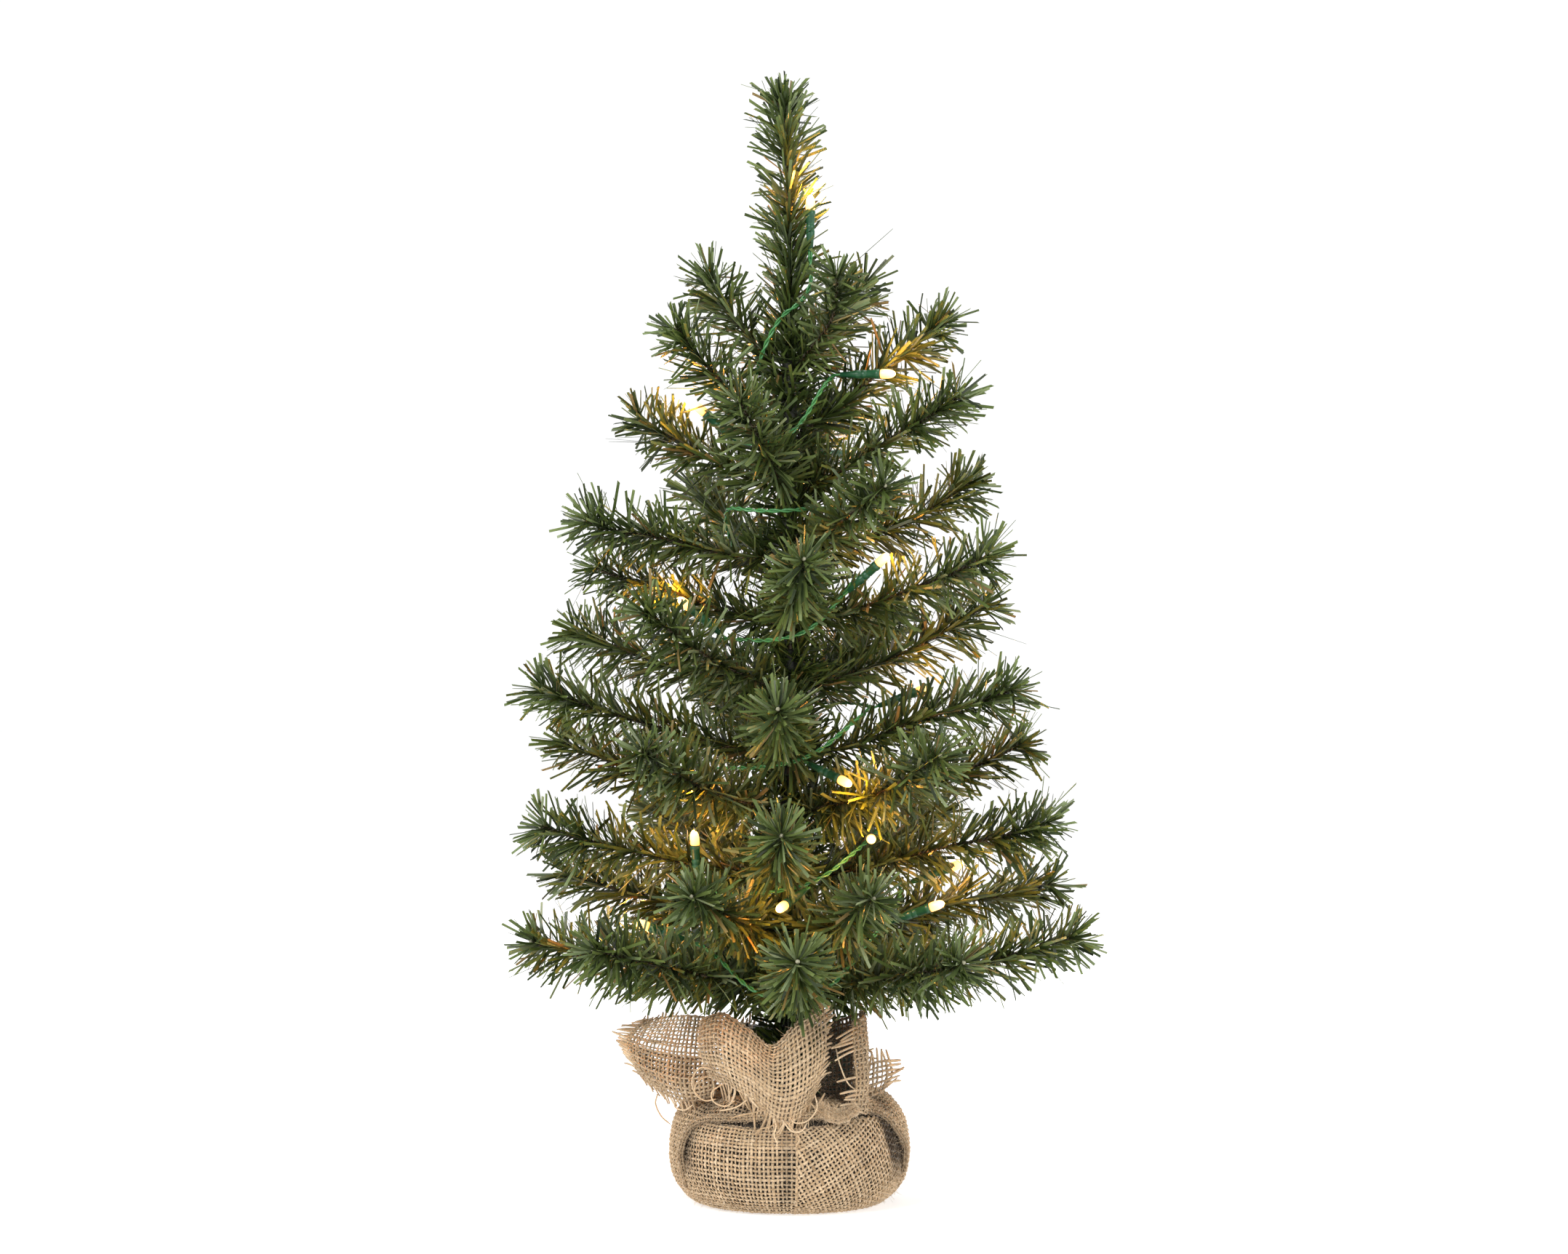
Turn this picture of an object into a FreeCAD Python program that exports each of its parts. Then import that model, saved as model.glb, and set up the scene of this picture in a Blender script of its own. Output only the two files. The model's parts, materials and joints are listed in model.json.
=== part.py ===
"""Pre-lit artificial tabletop tree in a burlap sack.

Frame: +Z up, the origin at the centre of the flat underside, the front towards -Y. Millimetres.
A branch's azimuth is measured from +X towards +Y, so the front is at -90 degrees.
"""
import FreeCAD, Part
import math
import os
import re

import Sketcher

Vector = FreeCAD.Vector

# ---------------------------------------------------------------- driving dimensions

DIMENSIONS = {
    "tree_height": 600.0,
    # sack and its concrete weight
    "sack_foot_radius": 44.0,
    "sack_side_radius": 32.5,
    "sack_rim_radius": 57.0,
    "sack_rim_height": 48.5,
    "cloth_thickness": 1.2,
    "base_gap": 0.5,
    "base_shoulder": 47.0,
    "base_top_radius": 48.5,
    "base_top": 55.0,
    "ruffle_foot_radius": 54.5,
    "ruffle_foot_height": 49.5,
    # trunk, the wires bound to it and their hinges
    "trunk_radius": 4.0,
    "trunk_foot": 14.0,
    "trunk_top": 447.0,
    "socket_gap": 0.1,
    "stem_radius": 1.2,
    "hinge_radius": 5.4,
    "leg_length": 12.0,
    "leg_gap": 1.4,
    "binding_radius": 7.3,
    "binding_wire_radius": 0.55,
    # needle brush of a branch
    "brush_radius": 6.5,
    "brush_start": 8.0,
    "brush_shoulder": 45.0,
    "brush_taper": 12.0,
    "brush_tip_radius": 3.0,
    # leader
    "leader_stem_radius": 1.6,
    "leader_stem_top": 590.0,
    "leader_brush_foot": 453.0,
    # light string
    "cable_diameter": 2.6,
    "tail_radius": 1.2,
    "socket_radius": 2.3,
    "socket_tail_length": 9.0,
    "socket_length": 23.0,
    "socket_start": 2.2,
    "bulb_radius": 2.5,
    "bulb_length": 8.0,
    # battery case for two AA cells, standing on the base behind the trunk
    "case_length": 66.0,
    "case_depth": 20.0,
    "case_height": 35.0,
    "case_front": 14.0,
    "case_wall": 3.0,
    "slot_depth": 0.8,
    "slot_width": 2.0,
    "slot_lip": 1.2,
    "slide_gap": 0.3,
    "cover_thickness": 1.4,
    "grip_height": 0.9,
    "gland_radius": 3.2,
    "gland_height": 6.0,
    "gland_setback": 24.0,
    "cell_radius": 7.1,
    "cell_length": 49.5,
    "nub_radius": 2.7,
    "nub_length": 1.0,
    "contact_width": 9.0,
    "contact_thickness": 0.5,
    "contact_bump_radius": 3.4,
    "knob_length": 4.0,
    "knob_width": 2.4,
    "knob_height": 2.2,
    "knob_travel": 4.0,
    "knob_recess": 1.8,
    "knob_place": -24.0,
    "knob_setback": 22.0,
}

# Each tier: height of its hinges, then azimuth, reach and tip height of its branches.
TIERS = [
    (114, [(-10, 165, 146), (-52, 152, 141), (-88, 150, 142), (-136, 152, 146),
           (186, 150, 142), (124, 150, 144), (54, 150, 146)]),
    (142, [(14, 160, 171), (162, 140, 176), (-112, 142, 174), (-70, 140, 172)]),
    (172, [(-18, 154, 209), (48, 142, 207), (126, 140, 208), (194, 147, 205), (-92, 138, 206)]),
    (204, [(8, 139, 247), (168, 136, 250), (-128, 134, 246), (-50, 132, 244)]),
    (236, [(-20, 134, 279), (110, 128, 280), (196, 148, 278), (-94, 126, 270)]),
    (270, [(12, 120, 324), (58, 120, 318), (164, 134, 305), (-134, 118, 320)]),
    (306, [(-24, 126, 349), (190, 116, 342), (-86, 108, 346)]),
    (342, [(10, 111, 388), (122, 104, 390), (202, 128, 366), (-56, 98, 384)]),
    (376, [(-26, 108, 433), (74, 92, 430), (172, 92, 424), (-112, 82, 430)]),
    (408, [(6, 90, 480), (206, 74, 472)]),
    (438, [(-60, 52, 500), (36, 56, 502), (158, 52, 504)]),
]

# Standing corners of the sack's mouth: azimuth, sector, lean outwards, height above the rim.
RUFFLE = [(182, 46, 36, 51), (-94, 58, 2, 54), (-50, 26, -8, 48), (-20, 24, 3, 39), (90, 80, 6, 50)]

# The winding of the light string, by its azimuth counted on from the rear of the first turn.
WINDING_START = 105
WINDING_END = 2445
WINDING_PITCH = 30
WINDING_RADII = (66.0, 17.5)
STEP_HALF_WIDTH = 38
LIFT_OVER_BRANCHES = 13.6
LEAD_IN_HEIGHT = 100.0

# Where the cable steps up on to each tier: azimuth, height of the tier's hinges, its mean slope.
STEPS_UP = [(90, 114, 0.205), (332, 142, 0.224), (665, 172, 0.252), (808, 204, 0.329),
            (1023, 236, 0.321), (1191, 270, 0.402), (1385, 306, 0.357), (1599, 342, 0.393),
            (1824, 376, 0.61), (2100, 408, 0.892), (2389, 438, 1.337)]

# Where the first turn sags under the front branch: azimuth, depth and half width in degrees.
SAG = (270, 38.0, 24.0)

# The cable's way from the case to the first turn, and from the last turn to the leader.
LEAD_IN = [(0, 24, 96), (0, 24, 103), (2, 29, 110), (4, 38, 114.5), (1, 49, 116.5), (-8, 58, 118.5)]
TOP_RUN = [(4, -18, 473), (9.5, -15, 479.5), (12, -12, 488), (11, -9, 499)]

# Lights: azimuth along the winding, turn of the socket away from straight out, rise.
LIGHTS = [(150, -20, 0), (210, -20, 20), (325, 20, 20), (360, 0, 20),
          (450, 0, 20), (570, 40, 80), (640, -40, -17), (690, -60, 0), (920, 60, -20), (1000, 40, -20),
          (1080, 0, 20), (1230, -40, 0), (1290, -20, 40), (1395, 20, 40), (1525, 0, 40),
          (1845, 20, 0), (1990, 0, 40), (2145, 0, 0), (2280, 20, 60)]


def branch_rows():
    """Number, hinge height, azimuth, length and elevation of every branch."""
    rows = []
    for height, branches in TIERS:
        for azimuth, reach, tip in branches:
            run = reach - DIMENSIONS["hinge_radius"]
            rise = tip - height
            elevation = math.degrees(math.atan2(rise, run))
            rows.append((len(rows) + 1, height, azimuth, math.hypot(run, rise), elevation))
    return rows


for number, height, azimuth, length, elevation in branch_rows():
    DIMENSIONS["branch_%02d_length" % number] = round(length, 2)

# ---------------------------------------------------------------- document and sheet

doc = FreeCAD.newDocument("tabletop_tree")
sheet = doc.addObject("Spreadsheet::Sheet", "sizes")
for row, (alias, value) in enumerate(DIMENSIONS.items(), start=1):
    sheet.set("A%d" % row, alias)
    sheet.set("B%d" % row, str(value))
    sheet.setAlias("B%d" % row, alias)
doc.recompute()


def size(alias):
    """A driving dimension, read from the sheet."""
    return float(sheet.get(alias))


def sheet_formula(formula):
    """A formula of aliases as the expression engine reads it, with the sheet's name before each."""
    return re.sub("[a-z_0-9]+", lambda word: "sizes." * (word[0] in DIMENSIONS) + word[0], formula)


def value_of(formula):
    """The formula's number, from a spare cell of the sheet."""
    if formula in DIMENSIONS:
        return size(formula)
    sheet.set("D1", "=" + formula)
    sheet.recompute()
    return float(sheet.get("D1"))


def bind(item, **formulas):
    """Bind properties to formulas of the sheet's aliases; x, y and z are the placement's base."""
    for name, formula in formulas.items():
        target = ".Placement.Base." + name if name in ("x", "y", "z") else name
        item.setExpression(target, sheet_formula(formula))
    return item


nodes = {}


def node(item, name):
    """Make an object of the document a sub-part with its own label."""
    item.Label = name
    nodes[name] = item
    return item


# ---------------------------------------------------------------- builders

def revolved_body(name, outline, axis="V_Axis", sector=None):
    """PartDesign body of revolution. The outline's points are pairs of formulas, across and up.

    A third item in a point is the formula of the radius of the arc that leaves it, bulging outwards.
    """
    body = doc.addObject("PartDesign::Body", name)
    sketch = body.newObject("Sketcher::SketchObject", name + "_outline")
    plane = [p for p in body.Origin.OriginFeatures if p.Role == "XZ_Plane"][0]
    sketch.AttachmentSupport = [(plane, "")]
    sketch.MapMode = "FlatFace"
    places = [(value_of(point[0]), value_of(point[1])) for point in outline]
    count = len(outline)
    for i, point in enumerate(outline):
        start = Vector(*places[i], 0)
        end = Vector(*places[(i + 1) % count], 0)
        if len(point) == 3:
            radius = value_of(point[2])
            half = (end - start).Length / 2
            depth = abs(radius) - math.sqrt(radius ** 2 - half ** 2)
            side = Vector(end.y - start.y, start.x - end.x, 0).normalize()
            middle = (start + end) * 0.5 + side * math.copysign(depth, radius)
            sketch.addGeometry(Part.Arc(start, middle, end), False)
        else:
            sketch.addGeometry(Part.LineSegment(start, end), False)

    def ends(i):
        """Which of the edge's points, 1 or 2, are its start and end in the outline's order."""
        first = sketch.getPoint(i, 1)
        swapped = (first - Vector(*places[i], 0)).Length > 1e-6
        return (2, 1) if swapped else (1, 2)

    for i in range(count):
        following = (i + 1) % count
        joined = Sketcher.Constraint("Coincident", i, ends(i)[1], following, ends(following)[0])
        sketch.addConstraint(joined)
    for i, point in enumerate(outline):
        start = ends(i)[0]
        across, up = places[i]
        for kind, formula, place in (("DistanceX", point[0], across), ("DistanceY", point[1], up)):
            if formula == "0":
                line = -2 if kind == "DistanceX" else -1
                sketch.addConstraint(Sketcher.Constraint("PointOnObject", i, start, line))
                continue
            index = sketch.addConstraint(Sketcher.Constraint(kind, -1, 1, i, start, place))
            sketch.setExpression("Constraints[%d]" % index, sheet_formula(formula))
        if len(point) == 3:
            index = sketch.addConstraint(Sketcher.Constraint("Radius", i, abs(value_of(point[2]))))
            sketch.setExpression("Constraints[%d]" % index, "abs( %s )" % sheet_formula(point[2]))
    turn = body.newObject("PartDesign::Revolution", name + "_turn")
    turn.Profile = sketch
    turn.ReferenceAxis = (sketch, [axis])
    turn.Angle = 360 if sector is None else sector
    turn.Midplane = sector is not None
    body.Tip = turn
    return body


def box(name, **formulas):
    return bind(doc.addObject("Part::Box", name), **formulas)


def cylinder(name, **formulas):
    return bind(doc.addObject("Part::Cylinder", name), **formulas)


def cut(name, base, tool):
    item = doc.addObject("Part::Cut", name)
    item.Base = base
    item.Tool = tool
    return item


def fuse(name, parts):
    item = doc.addObject("Part::MultiFuse", name)
    item.Shapes = parts
    return item


def group(name, parts):
    """Separate solids in one node."""
    item = doc.addObject("Part::Compound", name)
    item.Links = parts
    return node(item, name)


def feature(name, shape):
    item = doc.addObject("Part::Feature", name)
    item.Shape = shape
    return node(item, name)


def aimed(place, direction):
    """Placement that puts local +X along a direction."""
    return FreeCAD.Placement(Vector(*place), FreeCAD.Rotation(Vector(1, 0, 0), Vector(*direction)))


def around(radius, azimuth, height):
    angle = math.radians(azimuth)
    return (radius * math.cos(angle), radius * math.sin(angle), height)


def pointing(azimuth, elevation):
    angle = math.radians(azimuth)
    rise = math.radians(elevation)
    return (math.cos(angle) * math.cos(rise), math.sin(angle) * math.cos(rise), math.sin(rise))


# ---------------------------------------------------------------- sack and weight

def make_sack():
    """Flat bottom, bulging side and open mouth; the cloth has one thickness all over."""
    outline = [
        ("0", "0"),
        ("sack_foot_radius", "0", "sack_side_radius"),
        ("sack_rim_radius", "sack_rim_height"),
        ("sack_rim_radius - cloth_thickness", "sack_rim_height", "cloth_thickness - sack_side_radius"),
        ("sack_foot_radius - cloth_thickness", "cloth_thickness"),
        ("0", "cloth_thickness"),
    ]
    node(revolved_body("burlap_sack", outline), "burlap_sack")


def make_base():
    """Cast weight that fills the sack, with a blind socket for the trunk."""
    outline = [
        ("0", "cloth_thickness + base_gap"),
        ("sack_foot_radius - 2 * cloth_thickness", "cloth_thickness + base_gap",
         "sack_side_radius - cloth_thickness - base_gap"),
        ("sack_rim_radius - cloth_thickness - base_gap", "base_shoulder"),
        ("base_top_radius", "base_top"),
        ("trunk_radius + socket_gap", "base_top"),
        ("trunk_radius + socket_gap", "trunk_foot"),
        ("0", "trunk_foot"),
    ]
    node(revolved_body("concrete_base", outline), "concrete_base")


def make_ruffle():
    """The corners of the cloth that stand up around the mouth, as curved leaves."""
    leaves = []
    for number, (azimuth, sector, lean, height) in enumerate(RUFFLE, start=1):
        foot = "ruffle_foot_radius"
        low = "ruffle_foot_height"
        outline = [
            (foot, low),
            (foot + " + cloth_thickness", low),
            ("%s + %d + cloth_thickness" % (foot, lean), "%s + %d" % (low, height)),
            ("%s + %d" % (foot, lean), "%s + %d" % (low, height)),
        ]
        leaf = revolved_body("ruffle_leaf_%d" % number, outline, sector=sector)
        leaf.Placement = FreeCAD.Placement(Vector(0, 0, 0), FreeCAD.Rotation(Vector(0, 0, 1), azimuth))
        leaves.append(leaf)
    group("sack_ruffle", leaves)


# ---------------------------------------------------------------- trunk and leader

def make_trunk():
    trunk = cylinder("trunk", Radius="trunk_radius", Height="trunk_top - trunk_foot", z="trunk_foot")
    node(trunk, "trunk_pole")

    legs = []
    for number, height, azimuth, length, elevation in branch_rows():
        leg = cylinder("leg_%02d" % number, Radius="stem_radius", Height="leg_length",
                       x="hinge_radius * cos( %d deg )" % azimuth,
                       y="hinge_radius * sin( %d deg )" % azimuth,
                       z="%d - leg_gap - leg_length" % height)
        legs.append(leg)
    group("branch_legs", legs)

    wraps = []
    for height, branches in TIERS:
        for drop in (5, 10):
            wrap = doc.addObject("Part::Torus", "wrap_%d_%d" % (height, drop))
            bind(wrap, Radius1="binding_radius", Radius2="binding_wire_radius")
            wrap.Placement.Base = Vector(0, 0, height - drop)
            wraps.append(wrap)
    group("binding_wire", wraps)


def make_leader():
    stem = cylinder("leader_wire", Radius="leader_stem_radius",
                    Height="leader_stem_top - trunk_top", z="trunk_top")
    node(stem, "leader_stem")
    outline = [
        ("leader_stem_radius", "leader_brush_foot"),
        ("brush_radius - 2", "leader_brush_foot"),
        ("brush_radius", "leader_brush_foot + brush_taper"),
        ("brush_radius", "tree_height - brush_taper"),
        ("brush_tip_radius", "tree_height"),
        ("0", "tree_height"),
        ("0", "leader_stem_top"),
        ("leader_stem_radius", "leader_stem_top"),
    ]
    node(revolved_body("leader_needles", outline), "leader_needles")


# ---------------------------------------------------------------- branches

def make_branches():
    """A wire stem with its needle brush; the rounded root is centred on the hinge."""
    for number, height, azimuth, length, elevation in branch_rows():
        name = "branch_%02d" % number
        reach = name + "_length"
        outline = [
            ("0 - stem_radius", "0"),
            (reach, "0"),
            (reach, "brush_tip_radius"),
            (reach + " - brush_taper", "brush_radius"),
            ("brush_shoulder", "brush_radius"),
            ("brush_start", "stem_radius"),
            ("0", "stem_radius", "stem_radius"),
        ]
        body = revolved_body(name, outline, axis="H_Axis")
        hinge = around(size("hinge_radius"), azimuth, height)
        body.Placement = aimed(hinge, pointing(azimuth, elevation))
        node(body, name)


# ---------------------------------------------------------------- light string

def smooth_step(share):
    share = min(max(share, 0.0), 1.0)
    return share * share * (3 - 2 * share)


def winding_point(azimuth):
    """The cable lies over one tier's branches, then steps up to the next through a gap."""
    share = (azimuth - STEPS_UP[0][0]) / (WINDING_END - STEPS_UP[0][0])
    radius = WINDING_RADII[0] + (WINDING_RADII[1] - WINDING_RADII[0]) * share ** 0.9
    slow_wave = 0.05 * math.sin(math.radians(azimuth * 1.37))
    fast_wave = 0.03 * math.sin(math.radians(azimuth * 2.9 + 40))
    radius *= 1 + slow_wave + fast_wave
    height = LEAD_IN_HEIGHT
    for step, hinges, slope in STEPS_UP:
        level = hinges + (radius - DIMENSIONS["hinge_radius"]) * slope + LIFT_OVER_BRANCHES
        risen = smooth_step((azimuth - step + STEP_HALF_WIDTH) / (2 * STEP_HALF_WIDTH))
        height += (level - height) * risen
    height += 1.3 * math.sin(math.radians(azimuth * 2.3))
    middle, depth, half_width = SAG
    height -= depth * math.exp(-((azimuth - middle) / half_width) ** 2)
    return around(radius, azimuth, height)


def cable_route():
    azimuths = range(WINDING_START, WINDING_END, WINDING_PITCH)
    winding = [winding_point(azimuth) for azimuth in azimuths]
    return [Vector(*point) for point in LEAD_IN + winding + TOP_RUN]


def cord_solid(route, diameter):
    """Tube along straight runs joined by tangent arcs, each as large as its two runs allow."""
    edges = []
    radii = []
    here = route[0]
    for before, corner, after in zip(route, route[1:], route[2:]):
        back = before - corner
        ahead = after - corner
        turn = math.pi - back.getAngle(ahead)
        shorter = min(back.Length, ahead.Length)
        radii.append(0.45 * shorter / math.tan(turn / 2))
        start = corner + back.normalize() * 0.45 * shorter
        end = corner + ahead.normalize() * 0.45 * shorter
        bisector = (back + ahead).normalize()
        middle = corner + bisector * (radii[-1] / math.cos(turn / 2) - radii[-1])
        edges.append(Part.LineSegment(here, start).toShape())
        edges.append(Part.Arc(start, middle, end).toShape())
        here = end
    edges.append(Part.LineSegment(here, route[-1]).toShape())
    path = Part.Wire(edges)
    mouth = Part.Wire(Part.Circle(route[0], route[1] - route[0], diameter / 2).toShape())
    tube = path.makePipeShell([mouth], True, True)
    expected = math.pi * diameter ** 2 / 4 * path.Length
    print("cord: %.0f mm long, smallest radius %.1f mm, volume %.4f of section times length"
          % (path.Length, min(radii), tube.Volume / expected))
    return tube


def light_places():
    """Start point and direction of every socket; the last one stands beside the leader."""
    places = []
    for azimuth, swing, rise in LIGHTS:
        direction = Vector(*pointing(azimuth + swing, rise))
        start = Vector(*winding_point(azimuth)) + direction * size("socket_start")
        places.append((start, direction))
    top = Vector(*TOP_RUN[-1]) + Vector(0, 0, size("socket_start"))
    places.append((top, Vector(0, 0, 1)))
    return places


def make_lights():
    feature("light_cable", cord_solid(cable_route(), size("cable_diameter")))

    tail = size("socket_tail_length")
    length = size("socket_length")
    body_length = length - tail
    along = Vector(1, 0, 0)
    socket = Part.makeCone(size("tail_radius"), size("socket_radius"), tail, Vector(0, 0, 0), along)
    socket = socket.fuse(Part.makeCylinder(size("socket_radius"), body_length, Vector(tail, 0, 0), along))
    socket = socket.removeSplitter()
    straight = size("bulb_length") - size("bulb_radius")
    bulb = Part.makeCylinder(size("bulb_radius"), straight, Vector(length, 0, 0), along)
    dome = Part.makeSphere(size("bulb_radius"), Vector(length + straight, 0, 0), along)
    bulb = bulb.fuse(dome).removeSplitter()

    sockets = []
    bulbs = []
    for place, direction in light_places():
        placement = aimed(place, direction)
        sockets.append(socket.transformed(placement.toMatrix(), True))
        bulbs.append(bulb.transformed(placement.toMatrix(), True))
    feature("led_sockets", Part.makeCompound(sockets))
    feature("led_bulbs", Part.makeCompound(bulbs))


# ---------------------------------------------------------------- battery case

def make_battery_case():
    """Open towards the rear; a slot in its upper, lower and right walls guides the cover."""
    rear = "case_front + case_depth"
    slot_front = rear + " - slot_lip - slot_width"
    shell = box("case_block", Length="case_length", Width="case_depth", Height="case_height",
                x="0 - case_length / 2", y="case_front", z="base_top")
    bay = box("case_bay", Length="case_length - 2 * case_wall", Width="case_depth",
              Height="case_height - 2 * case_wall",
              x="case_wall - case_length / 2", y="case_front + case_wall - 1", z="base_top + case_wall")
    slot = box("case_slot", Length="case_length", Width="slot_width",
               Height="case_height - 2 * case_wall + 2 * slot_depth",
               x="case_wall - case_length / 2", y=slot_front, z="base_top + case_wall - slot_depth")
    switch = box("case_switch_slot", Length="knob_length + knob_travel + 2 * slide_gap",
                 Width="knob_width + 2 * slide_gap", Height="case_wall",
                 x="knob_place - knob_length / 2 - slide_gap",
                 y="knob_setback - knob_width / 2 - slide_gap",
                 z="base_top + case_height - knob_recess")
    way_out = box("case_way_out", Length="case_wall * 2", Width="slot_width + slot_lip",
                  Height="case_height - 2 * case_wall + 2 * slot_depth",
                  x="case_length / 2 - case_wall", y=slot_front, z="base_top + case_wall - slot_depth")
    gland = doc.addObject("Part::Cone", "case_gland")
    bind(gland, Radius1="gland_radius", Radius2="gland_radius * 0.7", Height="gland_height",
         y="gland_setback", z="base_top + case_height")
    hollow = cut("case_hollow", shell, fuse("case_cuts", [bay, slot, switch, way_out]))
    node(fuse("case_with_gland", [hollow, gland]), "battery_case")

    cover = box("cover_plate", Length="case_length - case_wall - slide_gap", Width="cover_thickness",
                Height="case_height - 2 * case_wall + 2 * slot_depth - 2 * slide_gap",
                x="case_wall - case_length / 2 + slide_gap", y=slot_front + " + slide_gap",
                z="base_top + case_wall - slot_depth + slide_gap")
    ridges = []
    for step in range(5):
        ridge = box("cover_ridge_%d" % step, Length="0.8", Width="grip_height", Height="12",
                    x="case_length / 2 - 18 + %d * 2" % step,
                    y=slot_front + " + slide_gap + cover_thickness",
                    z="base_top + case_height / 2 - 6")
        ridges.append(ridge)
    node(fuse("cover_with_grip", [cover] + ridges), "battery_cover")

    knob_body = box("knob_body", Length="knob_length", Width="knob_width",
                    Height="knob_recess - slide_gap + knob_height",
                    x="knob_place - knob_length / 2", y="knob_setback - knob_width / 2",
                    z="base_top + case_height - knob_recess + slide_gap")
    node(knob_body, "switch_knob")


def make_cells():
    """Two cells one above the other, head to tail, and the strip contacts at their ends."""
    axis_y = "case_front + case_wall - 1 + cell_radius + 0.2"
    low = "base_top + case_wall + cell_radius + 0.1"
    high = "base_top + case_height - case_wall - cell_radius - 0.1"
    cells = []
    contacts = []
    for name, axis_z, head in (("lower", low, 1), ("upper", high, -1)):
        can = cylinder(name + "_can", Radius="cell_radius", Height="cell_length",
                       x="0 - cell_length / 2", y=axis_y, z=axis_z)
        can.Placement.Rotation = FreeCAD.Rotation(Vector(0, 1, 0), 90)
        nub_start = "cell_length / 2" if head > 0 else "0 - cell_length / 2 - nub_length"
        nub = cylinder(name + "_nub", Radius="nub_radius", Height="nub_length",
                       x=nub_start, y=axis_y, z=axis_z)
        nub.Placement.Rotation = FreeCAD.Rotation(Vector(0, 1, 0), 90)
        cells.append(fuse(name + "_cell", [can, nub]))
        for side in (-1, 1):
            wall = "case_length / 2 - case_wall"
            right_face = wall + " - contact_thickness"
            left_face = "case_wall - case_length / 2"
            plate_x = right_face if side > 0 else left_face
            plate = box("%s_plate_%d" % (name, side + 1), Length="contact_thickness", Width="contact_width",
                        Height="contact_width", x=plate_x, y=axis_y + " - contact_width / 2",
                        z=axis_z + " - contact_width / 2")
            bump = doc.addObject("Part::Cone", "%s_bump_%d" % (name, side + 1))
            reach = right_face + " - cell_length / 2"
            if side == head:
                reach += " - nub_length"
            bind(bump, Height=reach, Radius1="contact_bump_radius", Radius2="contact_bump_radius / 2",
                 x=right_face if side > 0 else left_face + " + contact_thickness", y=axis_y, z=axis_z)
            bump.Placement.Rotation = FreeCAD.Rotation(Vector(0, 1, 0), -90 * side)
            contacts.append(fuse("%s_contact_%d" % (name, side + 1), [plate, bump]))
    group("battery_cells", cells)
    group("battery_contacts", contacts)


# ---------------------------------------------------------------- make, check and write

make_sack()
make_base()
make_ruffle()
make_trunk()
make_leader()
make_branches()
make_lights()
make_battery_case()
make_cells()
doc.recompute()

for item in doc.Objects:
    if "Invalid" in item.State or "Error" in item.State:
        raise RuntimeError("%s did not recompute: %s" % (item.Name, item.State))
for name, item in nodes.items():
    if item.Shape.isNull() or not item.Shape.isValid():
        raise RuntimeError("%s has no valid shape" % name)

os.makedirs("parts", exist_ok=True)
for name, item in nodes.items():
    item.Shape.exportStep("parts/%s.step" % name)
print("%d sub-parts written" % len(nodes))
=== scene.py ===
import json
import math
from functools import partial

import bpy
import numpy as np
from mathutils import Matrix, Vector


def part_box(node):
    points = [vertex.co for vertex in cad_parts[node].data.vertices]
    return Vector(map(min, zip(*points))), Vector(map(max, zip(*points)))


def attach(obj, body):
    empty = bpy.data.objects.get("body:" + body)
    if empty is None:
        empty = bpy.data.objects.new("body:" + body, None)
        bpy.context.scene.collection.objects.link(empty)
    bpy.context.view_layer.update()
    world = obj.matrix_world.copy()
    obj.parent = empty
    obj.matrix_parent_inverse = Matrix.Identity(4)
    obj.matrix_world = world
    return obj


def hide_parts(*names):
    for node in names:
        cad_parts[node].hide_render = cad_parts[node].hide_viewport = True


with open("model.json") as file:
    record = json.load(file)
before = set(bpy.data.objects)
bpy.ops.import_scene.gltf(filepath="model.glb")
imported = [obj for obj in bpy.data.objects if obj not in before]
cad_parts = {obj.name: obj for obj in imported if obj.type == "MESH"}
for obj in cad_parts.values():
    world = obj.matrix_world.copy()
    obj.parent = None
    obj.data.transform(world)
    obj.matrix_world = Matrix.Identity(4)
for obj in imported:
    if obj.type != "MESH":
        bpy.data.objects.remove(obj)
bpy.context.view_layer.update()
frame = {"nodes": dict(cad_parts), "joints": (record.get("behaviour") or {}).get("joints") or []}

MM = 0.001
UP = np.array([0.0, 0.0, 1.0])

WORLD_LIGHT = 0.54
WORLD_SEEN = 1.05
FLOOR_LIGHT = 0.60
LAMP_EMISSION = 2.2


# ---------------------------------------------------------------- camera, floor and light

def make_camera():
    """Level with the middle of the tree, as a long lens sees it from two metres."""
    data = bpy.data.cameras.new("camera")
    data.lens = 85
    data.sensor_width = 36
    camera = bpy.data.objects.new("camera", data)
    camera.location = (-0.0029, -1.962, 0.3042)
    camera.rotation_euler = (math.radians(90), 0, 0)
    bpy.context.collection.objects.link(camera)
    bpy.context.scene.camera = camera


def area_light(name, place, aim, size, watts):
    data = bpy.data.lights.new(name, "AREA")
    data.shape = "RECTANGLE"
    data.size, data.size_y = size
    data.energy = watts
    light = bpy.data.objects.new(name, data)
    light.location = place
    light.rotation_euler = (Vector(aim) - Vector(place)).to_track_quat("-Z", "Y").to_euler()
    bpy.context.collection.objects.link(light)


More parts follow.
